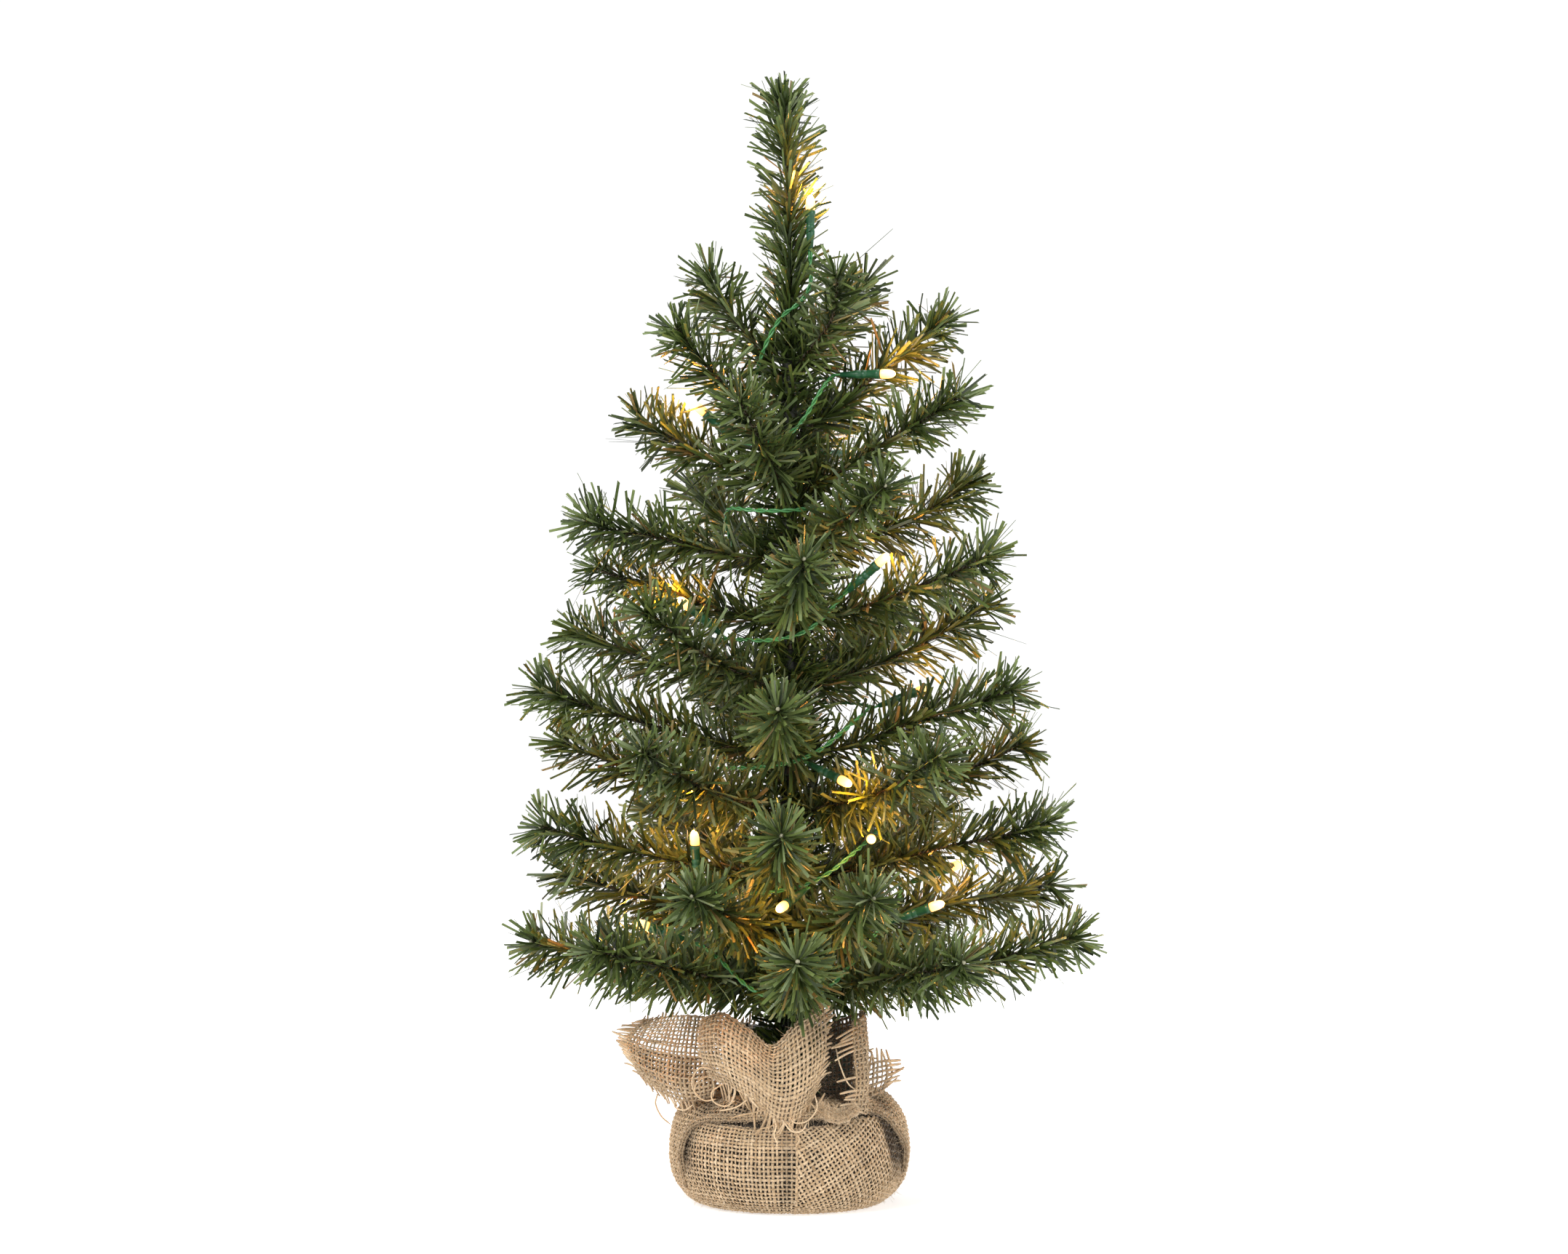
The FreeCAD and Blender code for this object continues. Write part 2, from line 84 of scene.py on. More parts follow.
def make_studio():
    """A white studio: what the camera sees of it is white, and it lights the tree softly."""
    world = bpy.data.worlds.new("studio")
    world.use_nodes = True
    tree = world.node_tree
    dim = tree.nodes["Background"]
    seen = tree.nodes.new("ShaderNodeBackground")
    for node, strength in ((dim, WORLD_LIGHT), (seen, WORLD_SEEN)):
        node.inputs["Color"].default_value = (1, 1, 1, 1)
        node.inputs["Strength"].default_value = strength
    ray = tree.nodes.new("ShaderNodeLightPath")
    either = tree.nodes.new("ShaderNodeMixShader")
    tree.links.new(ray.outputs["Is Camera Ray"], either.inputs[0])
    tree.links.new(dim.outputs[0], either.inputs[1])
    tree.links.new(seen.outputs[0], either.inputs[2])
    tree.links.new(either.outputs[0], tree.nodes["World Output"].inputs["Surface"])
    bpy.context.scene.world = world
    bpy.context.scene.view_settings.view_transform = "Standard"

    mesh = bpy.data.meshes.new("floor")
    mesh.from_pydata([(-9, -9, 0), (9, -9, 0), (9, 9, 0), (-9, 9, 0)], [], [(0, 1, 2, 3)])
    floor = bpy.data.objects.new("floor", mesh)
    bpy.context.collection.objects.link(floor)
    white = Nodes("floor_white").finish(Base_Color=(0.72, 0.72, 0.72, 1), Roughness=0.95,
                                        Emission_Color=(1, 1, 1, 1), Emission_Strength=FLOOR_LIGHT)
    floor.data.materials.append(white)

    area_light("key", (-1.3, -1.7, 1.5), (0, 0, 0.3), (1.0, 1.0), 40)
    area_light("fill", (1.6, -1.4, 0.9), (0, 0, 0.25), (1.0, 1.0), 17)
    area_light("top", (0.2, 0.3, 2.2), (0, 0, 0.3), (1.2, 1.2), 21)


# ---------------------------------------------------------------- mesh helpers

def paint(piece, values):
    """Per-point values for the materials, as the colour attribute 'tone'."""
    layer = piece.data.color_attributes.new("tone", "FLOAT_COLOR", "POINT")
    layer.data.foreach_set("color", np.asarray(values, dtype=np.float32).ravel())


def unit(vectors):
    return vectors / np.maximum(np.linalg.norm(vectors, axis=-1, keepdims=True), 1e-12)


def level_side(way, steep):
    """A direction across way: level, unless way climbs more than the limit."""
    return unit(np.cross(way, UP) if abs(way[2]) < steep else np.array([1.0, 0, 0]))


def ring_faces(rings, sides):
    """Quads between rings of points, without the ends."""
    ring = np.arange(rings - 1)[:, None] * sides
    side = np.arange(sides)[None, :]
    after = (side + 1) % sides
    quads = np.stack([ring + side, ring + after, ring + sides + after, ring + sides + side], axis=-1)
    return quads.reshape(-1, 4)


def tube_frames(line):
    """Tangents and two cross directions along a line, turned as little as possible."""
    tangents = unit(np.gradient(line, axis=0))
    start = np.cross(tangents[0], UP if abs(tangents[0][2]) < 0.9 else np.array([1.0, 0, 0]))
    across = np.empty_like(line)
    across[0] = unit(start)
    for i in range(1, len(line)):
        kept = across[i - 1] - tangents[i] * (across[i - 1] @ tangents[i])
        across[i] = unit(kept)
    return tangents, across, np.cross(tangents, across)


class Builder:
    """Collects closed tubes and strips into one mesh with its tone values."""

    def __init__(self):
        self.points, self.faces, self.tones, self.count = [], [], [], 0
        self.triangles = [np.zeros((0, 3), int)]

    def add(self, points, faces, tones):
        self.points.append(points.reshape(-1, 3))
        self.faces.append(faces + self.count)
        self.tones.append(tones.reshape(-1, 4))
        self.count += self.points[-1].shape[0]

    def tube(self, line, radius, across, beside, sides=6, tint=0.5, shade=0.5):
        """A tube with closed ends; radius is a number, or one for each ring."""
        rings = len(line)
        radii = np.broadcast_to(radius, rings)[:, None, None]
        turn = (np.arange(sides) * 2 * math.pi / sides)[:, None]
        ring = (line[:, None] + across[:, None] * (np.cos(turn) * radii)
                + beside[:, None] * (np.sin(turn) * radii))
        points = np.concatenate([ring.reshape(-1, 3), line[[0, -1]]])
        side = np.arange(sides)
        after = (side + 1) % sides
        last = (rings - 1) * sides
        for rim, tip in (((after, side), 0), ((last + side, last + after), 1)):
            cap = np.stack([*rim, np.full(sides, rings * sides + tip)], axis=-1)
            self.triangles.append(cap + self.count)
        along = np.concatenate([np.repeat(np.linspace(0, 1, rings), sides), [0, 1]])
        tones = np.stack(np.broadcast_arrays(float(tint), along, float(shade), 1.0), axis=-1)
        self.add(points, ring_faces(rings, sides), tones)

    def build(self, name, material, smooth=True):
        points = np.concatenate(self.points)
        quads = np.concatenate(self.faces)
        triangles = np.concatenate(self.triangles)
        used = np.zeros(len(points), bool)
        used[quads] = True
        used[triangles] = True
        renumbered = np.cumsum(used) - 1
        points, quads, triangles = points[used], renumbered[quads], renumbered[triangles]
        mesh = bpy.data.meshes.new(name)
        mesh.vertices.add(len(points))
        mesh.vertices.foreach_set("co", points.astype(np.float32).ravel())
        loops = np.concatenate([quads.ravel(), triangles.ravel()]).astype(np.int32)
        mesh.loops.add(len(loops))
        mesh.loops.foreach_set("vertex_index", loops)
        starts = np.concatenate([np.arange(len(quads)) * 4,
                                 len(quads) * 4 + np.arange(len(triangles)) * 3])
        mesh.polygons.add(len(starts))
        mesh.polygons.foreach_set("loop_start", starts.astype(np.int32))
        mesh.polygons.foreach_set("use_smooth", np.full(len(starts), smooth))
        mesh.update(calc_edges=True)
        piece = bpy.data.objects.new(name, mesh)
        bpy.context.collection.objects.link(piece)
        paint(piece, np.concatenate(self.tones)[used])
        mesh.materials.append(material)
        return piece


# ---------------------------------------------------------------- material helpers

class Nodes:
    """Short spelling for a material's node tree."""

    def __init__(self, name):
        self.material = bpy.data.materials.new(name)
        self.material.use_nodes = True
        self.tree = self.material.node_tree
        self.shader = self.tree.nodes["Principled BSDF"]

    def make(self, kind, inputs=(), **settings):
        item = self.tree.nodes.new(kind)
        for key, value in settings.items():
            setattr(item, key, value)
        for key, value in dict(inputs).items():
            self.set(item, key, value)
        return item

    def set(self, item, key, value):
        if isinstance(value, bpy.types.NodeSocket):
            self.tree.links.new(value, item.inputs[key])
        else:
            item.inputs[key].default_value = value

    def tone(self):
        """The piece's own tone values, apart."""
        source = self.make("ShaderNodeAttribute", attribute_name="tone")
        return self.make("ShaderNodeSeparateColor", {"Color": source.outputs["Color"]}).outputs

    def place(self):
        return self.make("ShaderNodeTexCoord").outputs["Object"]

    def noise(self, scale, detail):
        inputs = {"Scale": scale, "Detail": detail, "Roughness": 0.6, "Vector": self.place()}
        return self.make("ShaderNodeTexNoise", inputs).outputs["Fac"]

    def ramp(self, value, stops):
        item = self.make("ShaderNodeValToRGB", {"Fac": value})
        band = item.color_ramp
        while len(band.elements) < len(stops):
            band.elements.new(0.5)
        for element, (position, colour) in zip(band.elements, stops):
            element.position = position
            element.color = (*colour, 1)
        return item.outputs["Color"]

    def maths(self, operation, a, b):
        return self.make("ShaderNodeMath", {0: a, 1: b}, operation=operation).outputs[0]

    def times(self, a, b):
        """One colour multiplied by another."""
        item = self.make("ShaderNodeMix", {0: 1.0, 6: a, 7: b}, data_type="RGBA", blend_type="MULTIPLY")
        return item.outputs[2]

    def bump(self, height, strength, distance):
        item = self.make("ShaderNodeBump", {"Strength": strength, "Distance": distance, "Height": height})
        self.set(self.shader, "Normal", item.outputs["Normal"])

    def finish(self, **values):
        for key, value in values.items():
            self.set(self.shader, key.replace("_", " "), value)
        return self.material


def needle_material():
    """Cut PVC film: each strip has its own green, with painted shade darkening it towards the wire and
    painted light brightening its tip, and a waxy gloss.
    """
    m = Nodes("needle_pvc")
    tint, along, spare = m.tone()[:3]
    green = m.ramp(tint, [(0.0, (0.013, 0.023, 0.006)), (0.26, (0.036, 0.058, 0.013)),
                          (0.50, (0.076, 0.112, 0.024)), (0.72, (0.124, 0.165, 0.046)),
                          (0.88, (0.155, 0.205, 0.095)), (0.97, (0.225, 0.265, 0.145)),
                          (1.0, (0.200, 0.140, 0.050))])
    # Painted shade: each strip darkens towards the wire at its foot, and is painted lighter towards its
    # tip.
    root = m.ramp(along, [(0.0, (0.42, 0.40, 0.30)), (0.25, (0.76, 0.78, 0.72)), (1.0, (1.14, 1.14, 1.06))])
    streaks = m.ramp(m.noise(900, 2), [(0.3, (0.86, 0.86, 0.86)), (0.7, (1.12, 1.12, 1.12))])
    colour = m.times(m.times(green, root), streaks)
    rough = m.maths("MULTIPLY_ADD", spare, 0.20)
    rough.node.inputs[2].default_value = 0.30
    return m.finish(Base_Color=colour, Roughness=rough, Specular_IOR_Level=0.36)


def patchy(name, noise, band, dark, light, relief=None, **more):
    """A surface of two close colours; relief is the scale, detail, strength and depth of its bumps."""
    m = Nodes(name)
    patch = m.ramp(m.noise(*noise), list(zip(band, (dark, light))))
    if relief:
        m.bump(m.noise(*relief[:2]), *relief[2:])
    return m.finish(Base_Color=patch, **more)


def mottled(name, dark, light, roughness, scale=120, bump=0.2, distance=0.0003, **more):
    """The parts that need no pattern of their own."""
    return patchy(name, (scale, 4), (0.32, 0.68), dark, light, (scale * 6, 3, bump, distance),
                  Roughness=roughness, **more)


def wire_material():
    """Twisted steel wire, lacquered dark green to brown."""
    return patchy("stem_wire", (140, 3), (0.35, 0.65), (0.030, 0.026, 0.012), (0.075, 0.055, 0.028),
                  Roughness=0.42, Metallic=0.35)


def wire_end_material():
    """The pale bead of glue and trimmed film on the end of a branch."""
    return patchy("branch_end", (700, 2), (0.3, 0.7), (0.30, 0.30, 0.19), (0.48, 0.46, 0.33), Roughness=0.6)


def insulation_material():
    """Glossy mid-green PVC insulation."""
    return patchy("cable_green", (60, 2), (0.3, 0.7), (0.040, 0.190, 0.050), (0.080, 0.285, 0.090),
                  (420, 2, 0.15, 0.0003), Roughness=0.26, Specular_IOR_Level=0.55)


def socket_material():
    """Darker green moulded holder, mottled a little lighter in patches."""
    return patchy("socket_green", (300, 3), (0.3, 0.72), (0.010, 0.070, 0.028), (0.022, 0.115, 0.046),
                  (1300, 2, 0.2, 0.0002), Roughness=0.34, Specular_IOR_Level=0.5)


def bulb_material():
    """Lit warm-white lamp: pale yellow in its core, deep amber at the foot."""
    m = Nodes("lamp_lit")
    along = m.tone()[1]
    glow = m.ramp(along, [(0.0, (1.0, 0.22, 0.01)), (0.30, (1.0, 0.40, 0.05)), (0.62, (1.0, 0.66, 0.20)),
                          (1.0, (1.0, 0.84, 0.46))])
    return m.finish(Base_Color=(1.0, 0.8, 0.5, 1), Roughness=0.1, Emission_Color=glow,
                    Emission_Strength=LAMP_EMISSION)


def jute_material(name, gain):
    """Spun jute: every yarn has its own straw or brown, with paler flecks, and painted shade from the
    tone's shade value in hollows, folds and gaps.
    """
    m = Nodes(name)
    tint, _, shade = m.tone()[:3]
    straw = m.ramp(tint, [(at, tuple(gain * c for c in colour)) for at, colour in (
        (0.0, (0.270, 0.175, 0.092)), (0.35, (0.440, 0.310, 0.180)),
        (0.65, (0.570, 0.425, 0.270)), (1.0, (0.720, 0.575, 0.400)))])
    patches = m.ramp(m.noise(95, 4), [(0.28, (0.80, 0.79, 0.77)), (0.72, (1.14, 1.13, 1.10))])
    flecks = m.ramp(m.noise(2100, 2), [(0.30, (0.66, 0.63, 0.58)), (0.62, (1.12, 1.12, 1.12))])
    # Painted shade: the tone's shade value darkens the yarns in hollows, folds, gaps and where they pass
    # under.
    dark = m.ramp(shade, [(0.0, (0.05, 0.04, 0.03)), (1.0, (1.0, 1.0, 1.0))])
    m.bump(m.noise(2600, 2), 0.5, 0.0003)
    return m.finish(Base_Color=m.times(m.times(m.times(straw, patches), flecks), dark), Roughness=0.88,
                    Specular_IOR_Level=0.2, Sheen_Weight=0.25, Sheen_Roughness=0.5)


def case_material(name, dark, light):
    """Moulded plastic with a fine spark-eroded grain."""
    m = Nodes(name)
    patch = m.ramp(m.noise(40, 3), [(0.3, dark), (0.7, light)])
    grain = m.make("ShaderNodeTexVoronoi", {"Scale": 2600.0, "Vector": m.place()}).outputs["Distance"]
    m.bump(grain, 0.25, 0.0002)
    return m.finish(Base_Color=patch, Roughness=0.46, Specular_IOR_Level=0.45)


def cell_material():
    """A plain wrapped cell: black sleeve with a copper-coloured band at one end."""
    m = Nodes("cell_sleeve")
    across = m.make("ShaderNodeSeparateXYZ", {"Vector": m.place()}).outputs["X"]
    band = m.ramp(m.maths("MULTIPLY_ADD", across, 20.0),
                  [(0.60, (0.015, 0.015, 0.017)), (0.63, (0.45, 0.20, 0.07))])
    worn = m.ramp(m.noise(200, 3), [(0.3, (0.9, 0.9, 0.9)), (0.7, (1.1, 1.1, 1.1))])
    return m.finish(Base_Color=m.times(band, worn), Roughness=0.3, Metallic=0.2)


# ---------------------------------------------------------------- branches

NEEDLE_LENGTH = 21.0 * MM
NEEDLE_WIDTH = 1.5 * MM
NEEDLE_THICKNESS = 0.17 * MM
NEEDLES_PER_METRE = 4100
LEADER_NEEDLES_PER_METRE = 4600
TRUNK_NEEDLES = 3000
TRUNK_NEEDLES_FOOT = 64 * MM
WIRE_STRAND = 0.55 * MM
WIRE_PITCH = 5.0 * MM
TIP_ZONE = 20 * MM
BARE_FOOT = 6 * MM


def needle_brush(rng, line, count, first, last, lean=57.0, rosette=0.0, shade=1.0, keep=None):
    """Strips that stand out of a line all round and lean towards its end.

    line is a function from a distance to point, tangent and two cross directions.
    rosette is the share of the needles that crowd at the last few millimetres and splay.
    keep says from the needles' ends which of them are made.
    """
    crowd = int(count * rosette)
    at = np.concatenate([rng.uniform(first, last, count - crowd), rng.uniform(last - 3 * MM, last, crowd)])
    at = np.clip(at + 0.8 * MM * np.sin(at / (3.1 * MM)), first, last)
    point, tangent, side, over = line(at)
    near_end = np.clip((at - (last - TIP_ZONE)) / TIP_ZONE, 0, 1)
    angle = np.radians(np.clip(rng.normal(lean, 21.0, count), 8, 112))
    splay = np.radians(18 + 62 * rng.random(crowd) ** 0.8)
    angle[count - crowd:] = splay
    roll = rng.uniform(0, 2 * math.pi, count)
    out = side * np.cos(roll)[:, None] + over * np.sin(roll)[:, None]
    round_it = np.cross(tangent, out)
    way = unit(tangent * np.cos(angle)[:, None] + out * np.sin(angle)[:, None]
               + round_it * rng.normal(0, 0.32, count)[:, None])
    length = NEEDLE_LENGTH * np.clip(rng.normal(1.0, 0.13, count), 0.6, 1.3) * (1 - 0.26 * near_end)
    strip_turn = rng.normal(0, 0.9, count)
    lift = unit(np.cross(way, round_it))
    width_way = unit(round_it * np.cos(strip_turn)[:, None] + lift * np.sin(strip_turn)[:, None])
    face_way = np.cross(way, width_way)
    sweep = rng.normal(0.0, 1.0, (count, 3)) * 1.6 * MM
    sweep = sweep + tangent * rng.normal(0.8, 0.8, count)[:, None] * MM
    width = NEEDLE_WIDTH * rng.uniform(0.75, 1.2, count)
    hair = rng.random(count) < 0.03
    width[hair] *= 0.25
    length[hair] *= rng.uniform(0.9, 1.3, hair.sum())
    sweep[hair] *= 4.0
    foot = point + out * 0.5 * MM
    rings = []
    for share, narrow in ((0.0, 0.75), (0.5, 1.0), (1.0, 0.95)):
        centre = foot + way * (length * share)[:, None] + sweep * share ** 2
        half = width_way * (width * 0.5 * narrow)[:, None]
        thick = face_way * NEEDLE_THICKNESS * 0.5
        slant = way * (rng.normal(0, 0.35, count) * MM * (share == 1.0))[:, None]
        rings.append(np.stack([centre - half - thick - slant, centre + half - thick + slant,
                               centre + half + thick + slant, centre - half + thick - slant], axis=1))
    points = np.stack(rings, axis=1)
    if keep is not None:
        kept = keep(points[:, 2, 0])
        points, count = points[kept], int(kept.sum())
    quads = np.concatenate([ring_faces(3, 4), [[3, 2, 1, 0]], [[8, 9, 10, 11]]])
    faces = (quads[None] + (np.arange(count) * 12)[:, None, None]).reshape(-1, 4)
    tones = np.ones((count, 3, 4, 4))
    # shade scales each strip's green down: painted shade, used to darken the needles deep in the tree.
    tint = np.clip(rng.beta(1.5, 1.6, count) * shade + rng.normal(0, 0.03, count), 0, 0.97)
    tint[rng.random(count) < 0.02] = 1.0
    tones[..., 0] = tint[:, None, None]
    tones[..., 1] = np.array([0.0, 0.5, 1.0])[None, :, None]
    tones[..., 2] = rng.random(count)[:, None, None]
    builder = Builder()
    builder.add(points, faces, tones)
    return builder


def bowed_line(root, way, length, bow, side_bow, kink=0.0):
    """A stem that sags in its middle, so that its end turns up, as points along its length."""
    flat = level_side(way, 0.98)
    over = np.cross(flat, way)

    def at(distance):
        share = distance / length
        wave = np.sin(math.pi * share)
        slope = math.pi / length * np.cos(math.pi * share)
        ripple = np.sin(3 * math.pi * share)
        ripple_slope = 3 * math.pi / length * np.cos(3 * math.pi * share)
        down = (bow * wave + kink * ripple)[:, None]
        aside = (side_bow * wave - kink * ripple)[:, None]
        down_slope = (bow * slope + kink * ripple_slope)[:, None]
        aside_slope = (side_bow * slope - kink * ripple_slope)[:, None]
        point = root + way * distance[:, None] - over * down + flat * aside
        tangent = unit(way - over * down_slope + flat * aside_slope)
        side = unit(np.cross(tangent, over + 0 * tangent))
        return point, tangent, side, np.cross(side, tangent)
    return at


def twisted_wire(line, first, last, strand=WIRE_STRAND):
    builder = Builder()
    rings = max(int((last - first) / WIRE_PITCH * 6), 4)
    at = np.linspace(first, last, rings)
    point, tangent, side, over = line(at)
    for phase in (0.0, math.pi):
        turn = at / WIRE_PITCH * 2 * math.pi + phase
        out = side * np.cos(turn)[:, None] + over * np.sin(turn)[:, None]
        builder.tube(point + out * strand, strand, out, np.cross(tangent, out), 5)
    return builder


def branch_frame(number):
    """Hinge, direction and length of a branch, from its joint and its CAD solid."""
    joint = [j for j in frame["joints"] if j["name"] == "bend_%02d" % number][0]
    root = np.array(joint["pos_m"])
    axis = np.array(joint["axis"])
    out = np.array([-axis[1], axis[0], 0.0])
    mesh = frame["nodes"]["branch_%02d" % number].data
    points = np.empty(len(mesh.vertices) * 3, dtype=np.float32)
    mesh.vertices.foreach_get("co", points)
    offset = points.reshape(-1, 3) - root
    reach = offset @ out
    end = offset[reach > reach.max() - 6 * MM].mean(axis=0)
    end -= axis * (end @ axis)
    return root, unit(end), float((offset @ unit(end)).max())


def ride_as(piece, body, slot, *replaced):
    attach(piece, body)
    if replaced:
        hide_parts(*replaced)


def stem_bead(line, end):
    """The blunt end of a stem, where its wires are nipped off and sealed."""
    at = end + np.linspace(-0.6, 1.5, 6) * MM
    point, tangent, side, over = line(at)
    radius = np.array([0.5, 1.0, 1.15, 1.0, 0.6, 0.15]) * MM
    builder = Builder()
    builder.tube(point, radius, side, over, 10)
    return builder


def make_branch(number, needles, wire, bead):
    rng = np.random.default_rng(1000 + number)
    root, way, length = branch_frame(number)
    bow = rng.uniform(2.5, 7.0) * MM * length / 0.15
    line = bowed_line(root, way, length, bow, rng.normal(0, 2.5) * MM, rng.normal(0, 0.9) * MM)
    name = "branch_%02d" % number
    stem_end = length - 14 * MM
    count = int((stem_end - BARE_FOOT) * NEEDLES_PER_METRE)
    brush = needle_brush(rng, line, count, BARE_FOOT, stem_end, rosette=0.03)
    ride_as(brush.build(name + "_needles", needles, smooth=False), name, "needles", name)
    ride_as(twisted_wire(line, 0.3 * MM, stem_end).build(name + "_wire", wire), name, "stem_wire")
    ride_as(stem_bead(line, stem_end).build(name + "_end", bead), name, "stem_wire")


def make_leader(needles, wire, bead):
    rng = np.random.default_rng(77)
    low, high = (np.array(c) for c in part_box("leader_needles"))
    root = np.array([0, 0, low[2] - 6 * MM])
    length = high[2] - root[2]
    line = bowed_line(root, unit(np.array([-0.030, 0.0, 1.0])), length, 0.0, 2.0 * MM)
    stem_end = length - 17 * MM
    count = int(stem_end * LEADER_NEEDLES_PER_METRE)
    brush = needle_brush(rng, line, count, 2 * MM, stem_end, lean=46.0, rosette=0.05)
    ride_as(brush.build("leader_brush", needles, smooth=False), "root", "leader_needles", "leader_needles")
    stem = twisted_wire(line, 0.0, stem_end, 0.7 * MM)
    ride_as(stem.build("leader_wire", wire), "root", "stem_wire", "leader_stem")
    ride_as(stem_bead(line, stem_end).build("leader_end", bead), "root", "stem_wire")


def make_trunk_needles(needles):
    """The needles wound round the trunk between the tiers, which fill the tree's dark middle."""
    rng = np.random.default_rng(5)
    root = np.array([0, 0, TRUNK_NEEDLES_FOOT])
    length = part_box("trunk_pole")[1][2] + 8 * MM - root[2]

    def line(distance):
        point = root + UP * distance[:, None]
        tangent = np.repeat(UP[None], len(distance), axis=0)
        turn = distance * 900.0
        side = np.stack([np.cos(turn), np.sin(turn), 0 * turn], axis=-1)
        return point + side * 3.5 * MM, tangent, side, np.cross(side, tangent)

    def clear_of_case(ends):
        low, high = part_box("battery_case")
        room = 3 * MM
        beside = (np.abs(ends[:, 0]) < high[0] + room) & (ends[:, 1] > low[1] - room)
        return ~(beside & (ends[:, 2] < high[2] + room))

    # shade=0.75 gives these needles darker greens: painted shade for the tree's middle.
    brush = needle_brush(rng, line, TRUNK_NEEDLES, 0.0, length, lean=64.0, shade=0.75, keep=clear_of_case)
    ride_as(brush.build("trunk_needles", needles, smooth=False), "root", "leader_needles")


# ---------------------------------------------------------------- light string

# Route of the cable, in millimetres: out of the case, and from the last turn up the leader.
LEAD_IN = [(0, 24, 96), (0, 24, 103), (2, 29, 110), (4, 38, 114.5), (1, 49, 116.5), (-8, 58, 118.5)]
TOP_RUN = [(4, -18, 473), (9.5, -15, 479.5), (12, -12, 488), (11, -9, 499)]
# Where it steps up: azimuth along the winding, height of the branches' roots there, their slope.
STEPS_UP = [(90, 114, 0.205), (332, 142, 0.224), (665, 172, 0.252), (808, 204, 0.329),
            (1023, 236, 0.321), (1191, 270, 0.402), (1385, 306, 0.357), (1599, 342, 0.393),
            (1824, 376, 0.61), (2100, 408, 0.892), (2389, 438, 1.337)]
# Lights: azimuth along the winding, turn of the socket away from straight out, rise.
LIGHTS = [(150, -20, 0), (210, -20, 20), (325, 20, 20), (360, 0, 20),
          (450, 0, 20), (570, 40, 80), (640, -40, -17), (690, -60, 0), (920, 60, -20), (1000, 40, -20),
          (1080, 0, 20), (1230, -40, 0), (1290, -20, 40), (1395, 20, 40), (1525, 0, 40),
          (1845, 20, 0), (1990, 0, 40), (2145, 0, 0), (2280, 20, 60)]
FIRST_AZIMUTH, LAST_AZIMUTH = 90, 2445
CABLE_TWIST = 13.0
STRAND_RADIUS = 0.63 * MM
SOCKET_START = 2.2 * MM


def pointing(azimuth, elevation):
    angle = math.radians(azimuth)
    rise = math.radians(elevation)
    return np.array([math.cos(angle) * math.cos(rise), math.sin(angle) * math.cos(rise), math.sin(rise)])


def winding_point(azimuth):
    """The cable lies over one tier's branches, then steps up to the next through a gap."""
    share = (azimuth - FIRST_AZIMUTH) / (LAST_AZIMUTH - FIRST_AZIMUTH)
    radius = 66.0 + (17.5 - 66.0) * share ** 0.9
    slow_wave = 0.05 * math.sin(math.radians(azimuth * 1.37))
    fast_wave = 0.03 * math.sin(math.radians(azimuth * 2.9 + 40))
    radius *= 1 + slow_wave + fast_wave
    height = 100.0
    for step, hinges, slope in STEPS_UP:
        level = hinges + (radius - 5.4) * slope + 13.6
        share = min(max((azimuth - step + 38) / 76, 0.0), 1.0)
        height += (level - height) * share * share * (3 - 2 * share)
    height += 1.3 * math.sin(math.radians(azimuth * 2.3))
    height -= 38.0 * math.exp(-((azimuth - 270) / 24.0) ** 2)
    angle = math.radians(azimuth)
    return (radius * math.cos(angle), radius * math.sin(angle), height)


def spline_points(control, spacing):
    """Points along a smooth curve through the control points' polygon, evenly spaced."""
    data = bpy.data.curves.new("route", "CURVE")
    data.dimensions = "3D"
    data.resolution_u = 16
    spline = data.splines.new("NURBS")
    spline.points.add(len(control) - 1)
    for point, place in zip(spline.points, control):
        point.co = (*place, 1)
    spline.order_u = 3
    spline.use_endpoint_u = True
    carrier = bpy.data.objects.new("route", data)
    mesh = bpy.data.meshes.new_from_object(carrier)
    points = np.empty(len(mesh.vertices) * 3)
    mesh.vertices.foreach_get("co", points)
    points = points.reshape(-1, 3)
    bpy.data.meshes.remove(mesh)
    bpy.data.objects.remove(carrier)
    bpy.data.curves.remove(data)
    gone = np.concatenate([[0], np.cumsum(np.linalg.norm(np.diff(points, axis=0), axis=1))])
    at = np.linspace(0, gone[-1], int(gone[-1] / spacing) + 1)
    return np.stack([np.interp(at, gone, points[:, i]) for i in range(3)], axis=1)


def make_cable(insulation):
    """Two insulated wires twisted round the route."""
    winding = [winding_point(azimuth) for azimuth in range(FIRST_AZIMUTH + 15, LAST_AZIMUTH, 30)]
    route = [tuple(c * MM for c in point) for point in LEAD_IN + winding + TOP_RUN]
    path = spline_points(route, 1.6 * MM)
    tangents, across, beside = tube_frames(path)
    gone = np.arange(len(path)) * 1.6
    rng = np.random.default_rng(12)
    wander = np.interp(gone, np.linspace(0, gone[-1], 60), rng.normal(0, 0.9, 60))
    turn = gone / CABLE_TWIST * 2 * math.pi + wander
    builder = Builder()
    for phase in (0.0, math.pi):
        out = across * np.cos(turn + phase)[:, None] + beside * np.sin(turn + phase)[:, None]
        builder.tube(path + out * 0.65 * MM, STRAND_RADIUS, out, np.cross(tangents, out), 8)
    cable = builder.build("light_lead", insulation)
    ride_as(cable, "root", "cable", "light_cable")


def light_places():
    """Start and direction of every socket; the last one stands beside the leader."""
    places = []
    for azimuth, swing, rise in LIGHTS:
        way = pointing(azimuth + swing, rise)
        places.append((np.array(winding_point(azimuth)) * MM + way * SOCKET_START, way))
    places.append((np.array(TOP_RUN[-1]) * MM + UP * SOCKET_START, UP))
    return places


def lathe(builder, start, way, profile):
    """A turned shape along a direction: pairs of distance and radius in millimetres."""
    side = level_side(way, 0.95)
    at, radius = (np.array(column) * MM for column in zip(*profile))
    across, beside = (np.repeat(d[None], len(profile), 0) for d in (side, np.cross(way, side)))
    builder.tube(start + way * at[:, None], radius, across, beside, 18)


LAMP_WATTS = 0.085
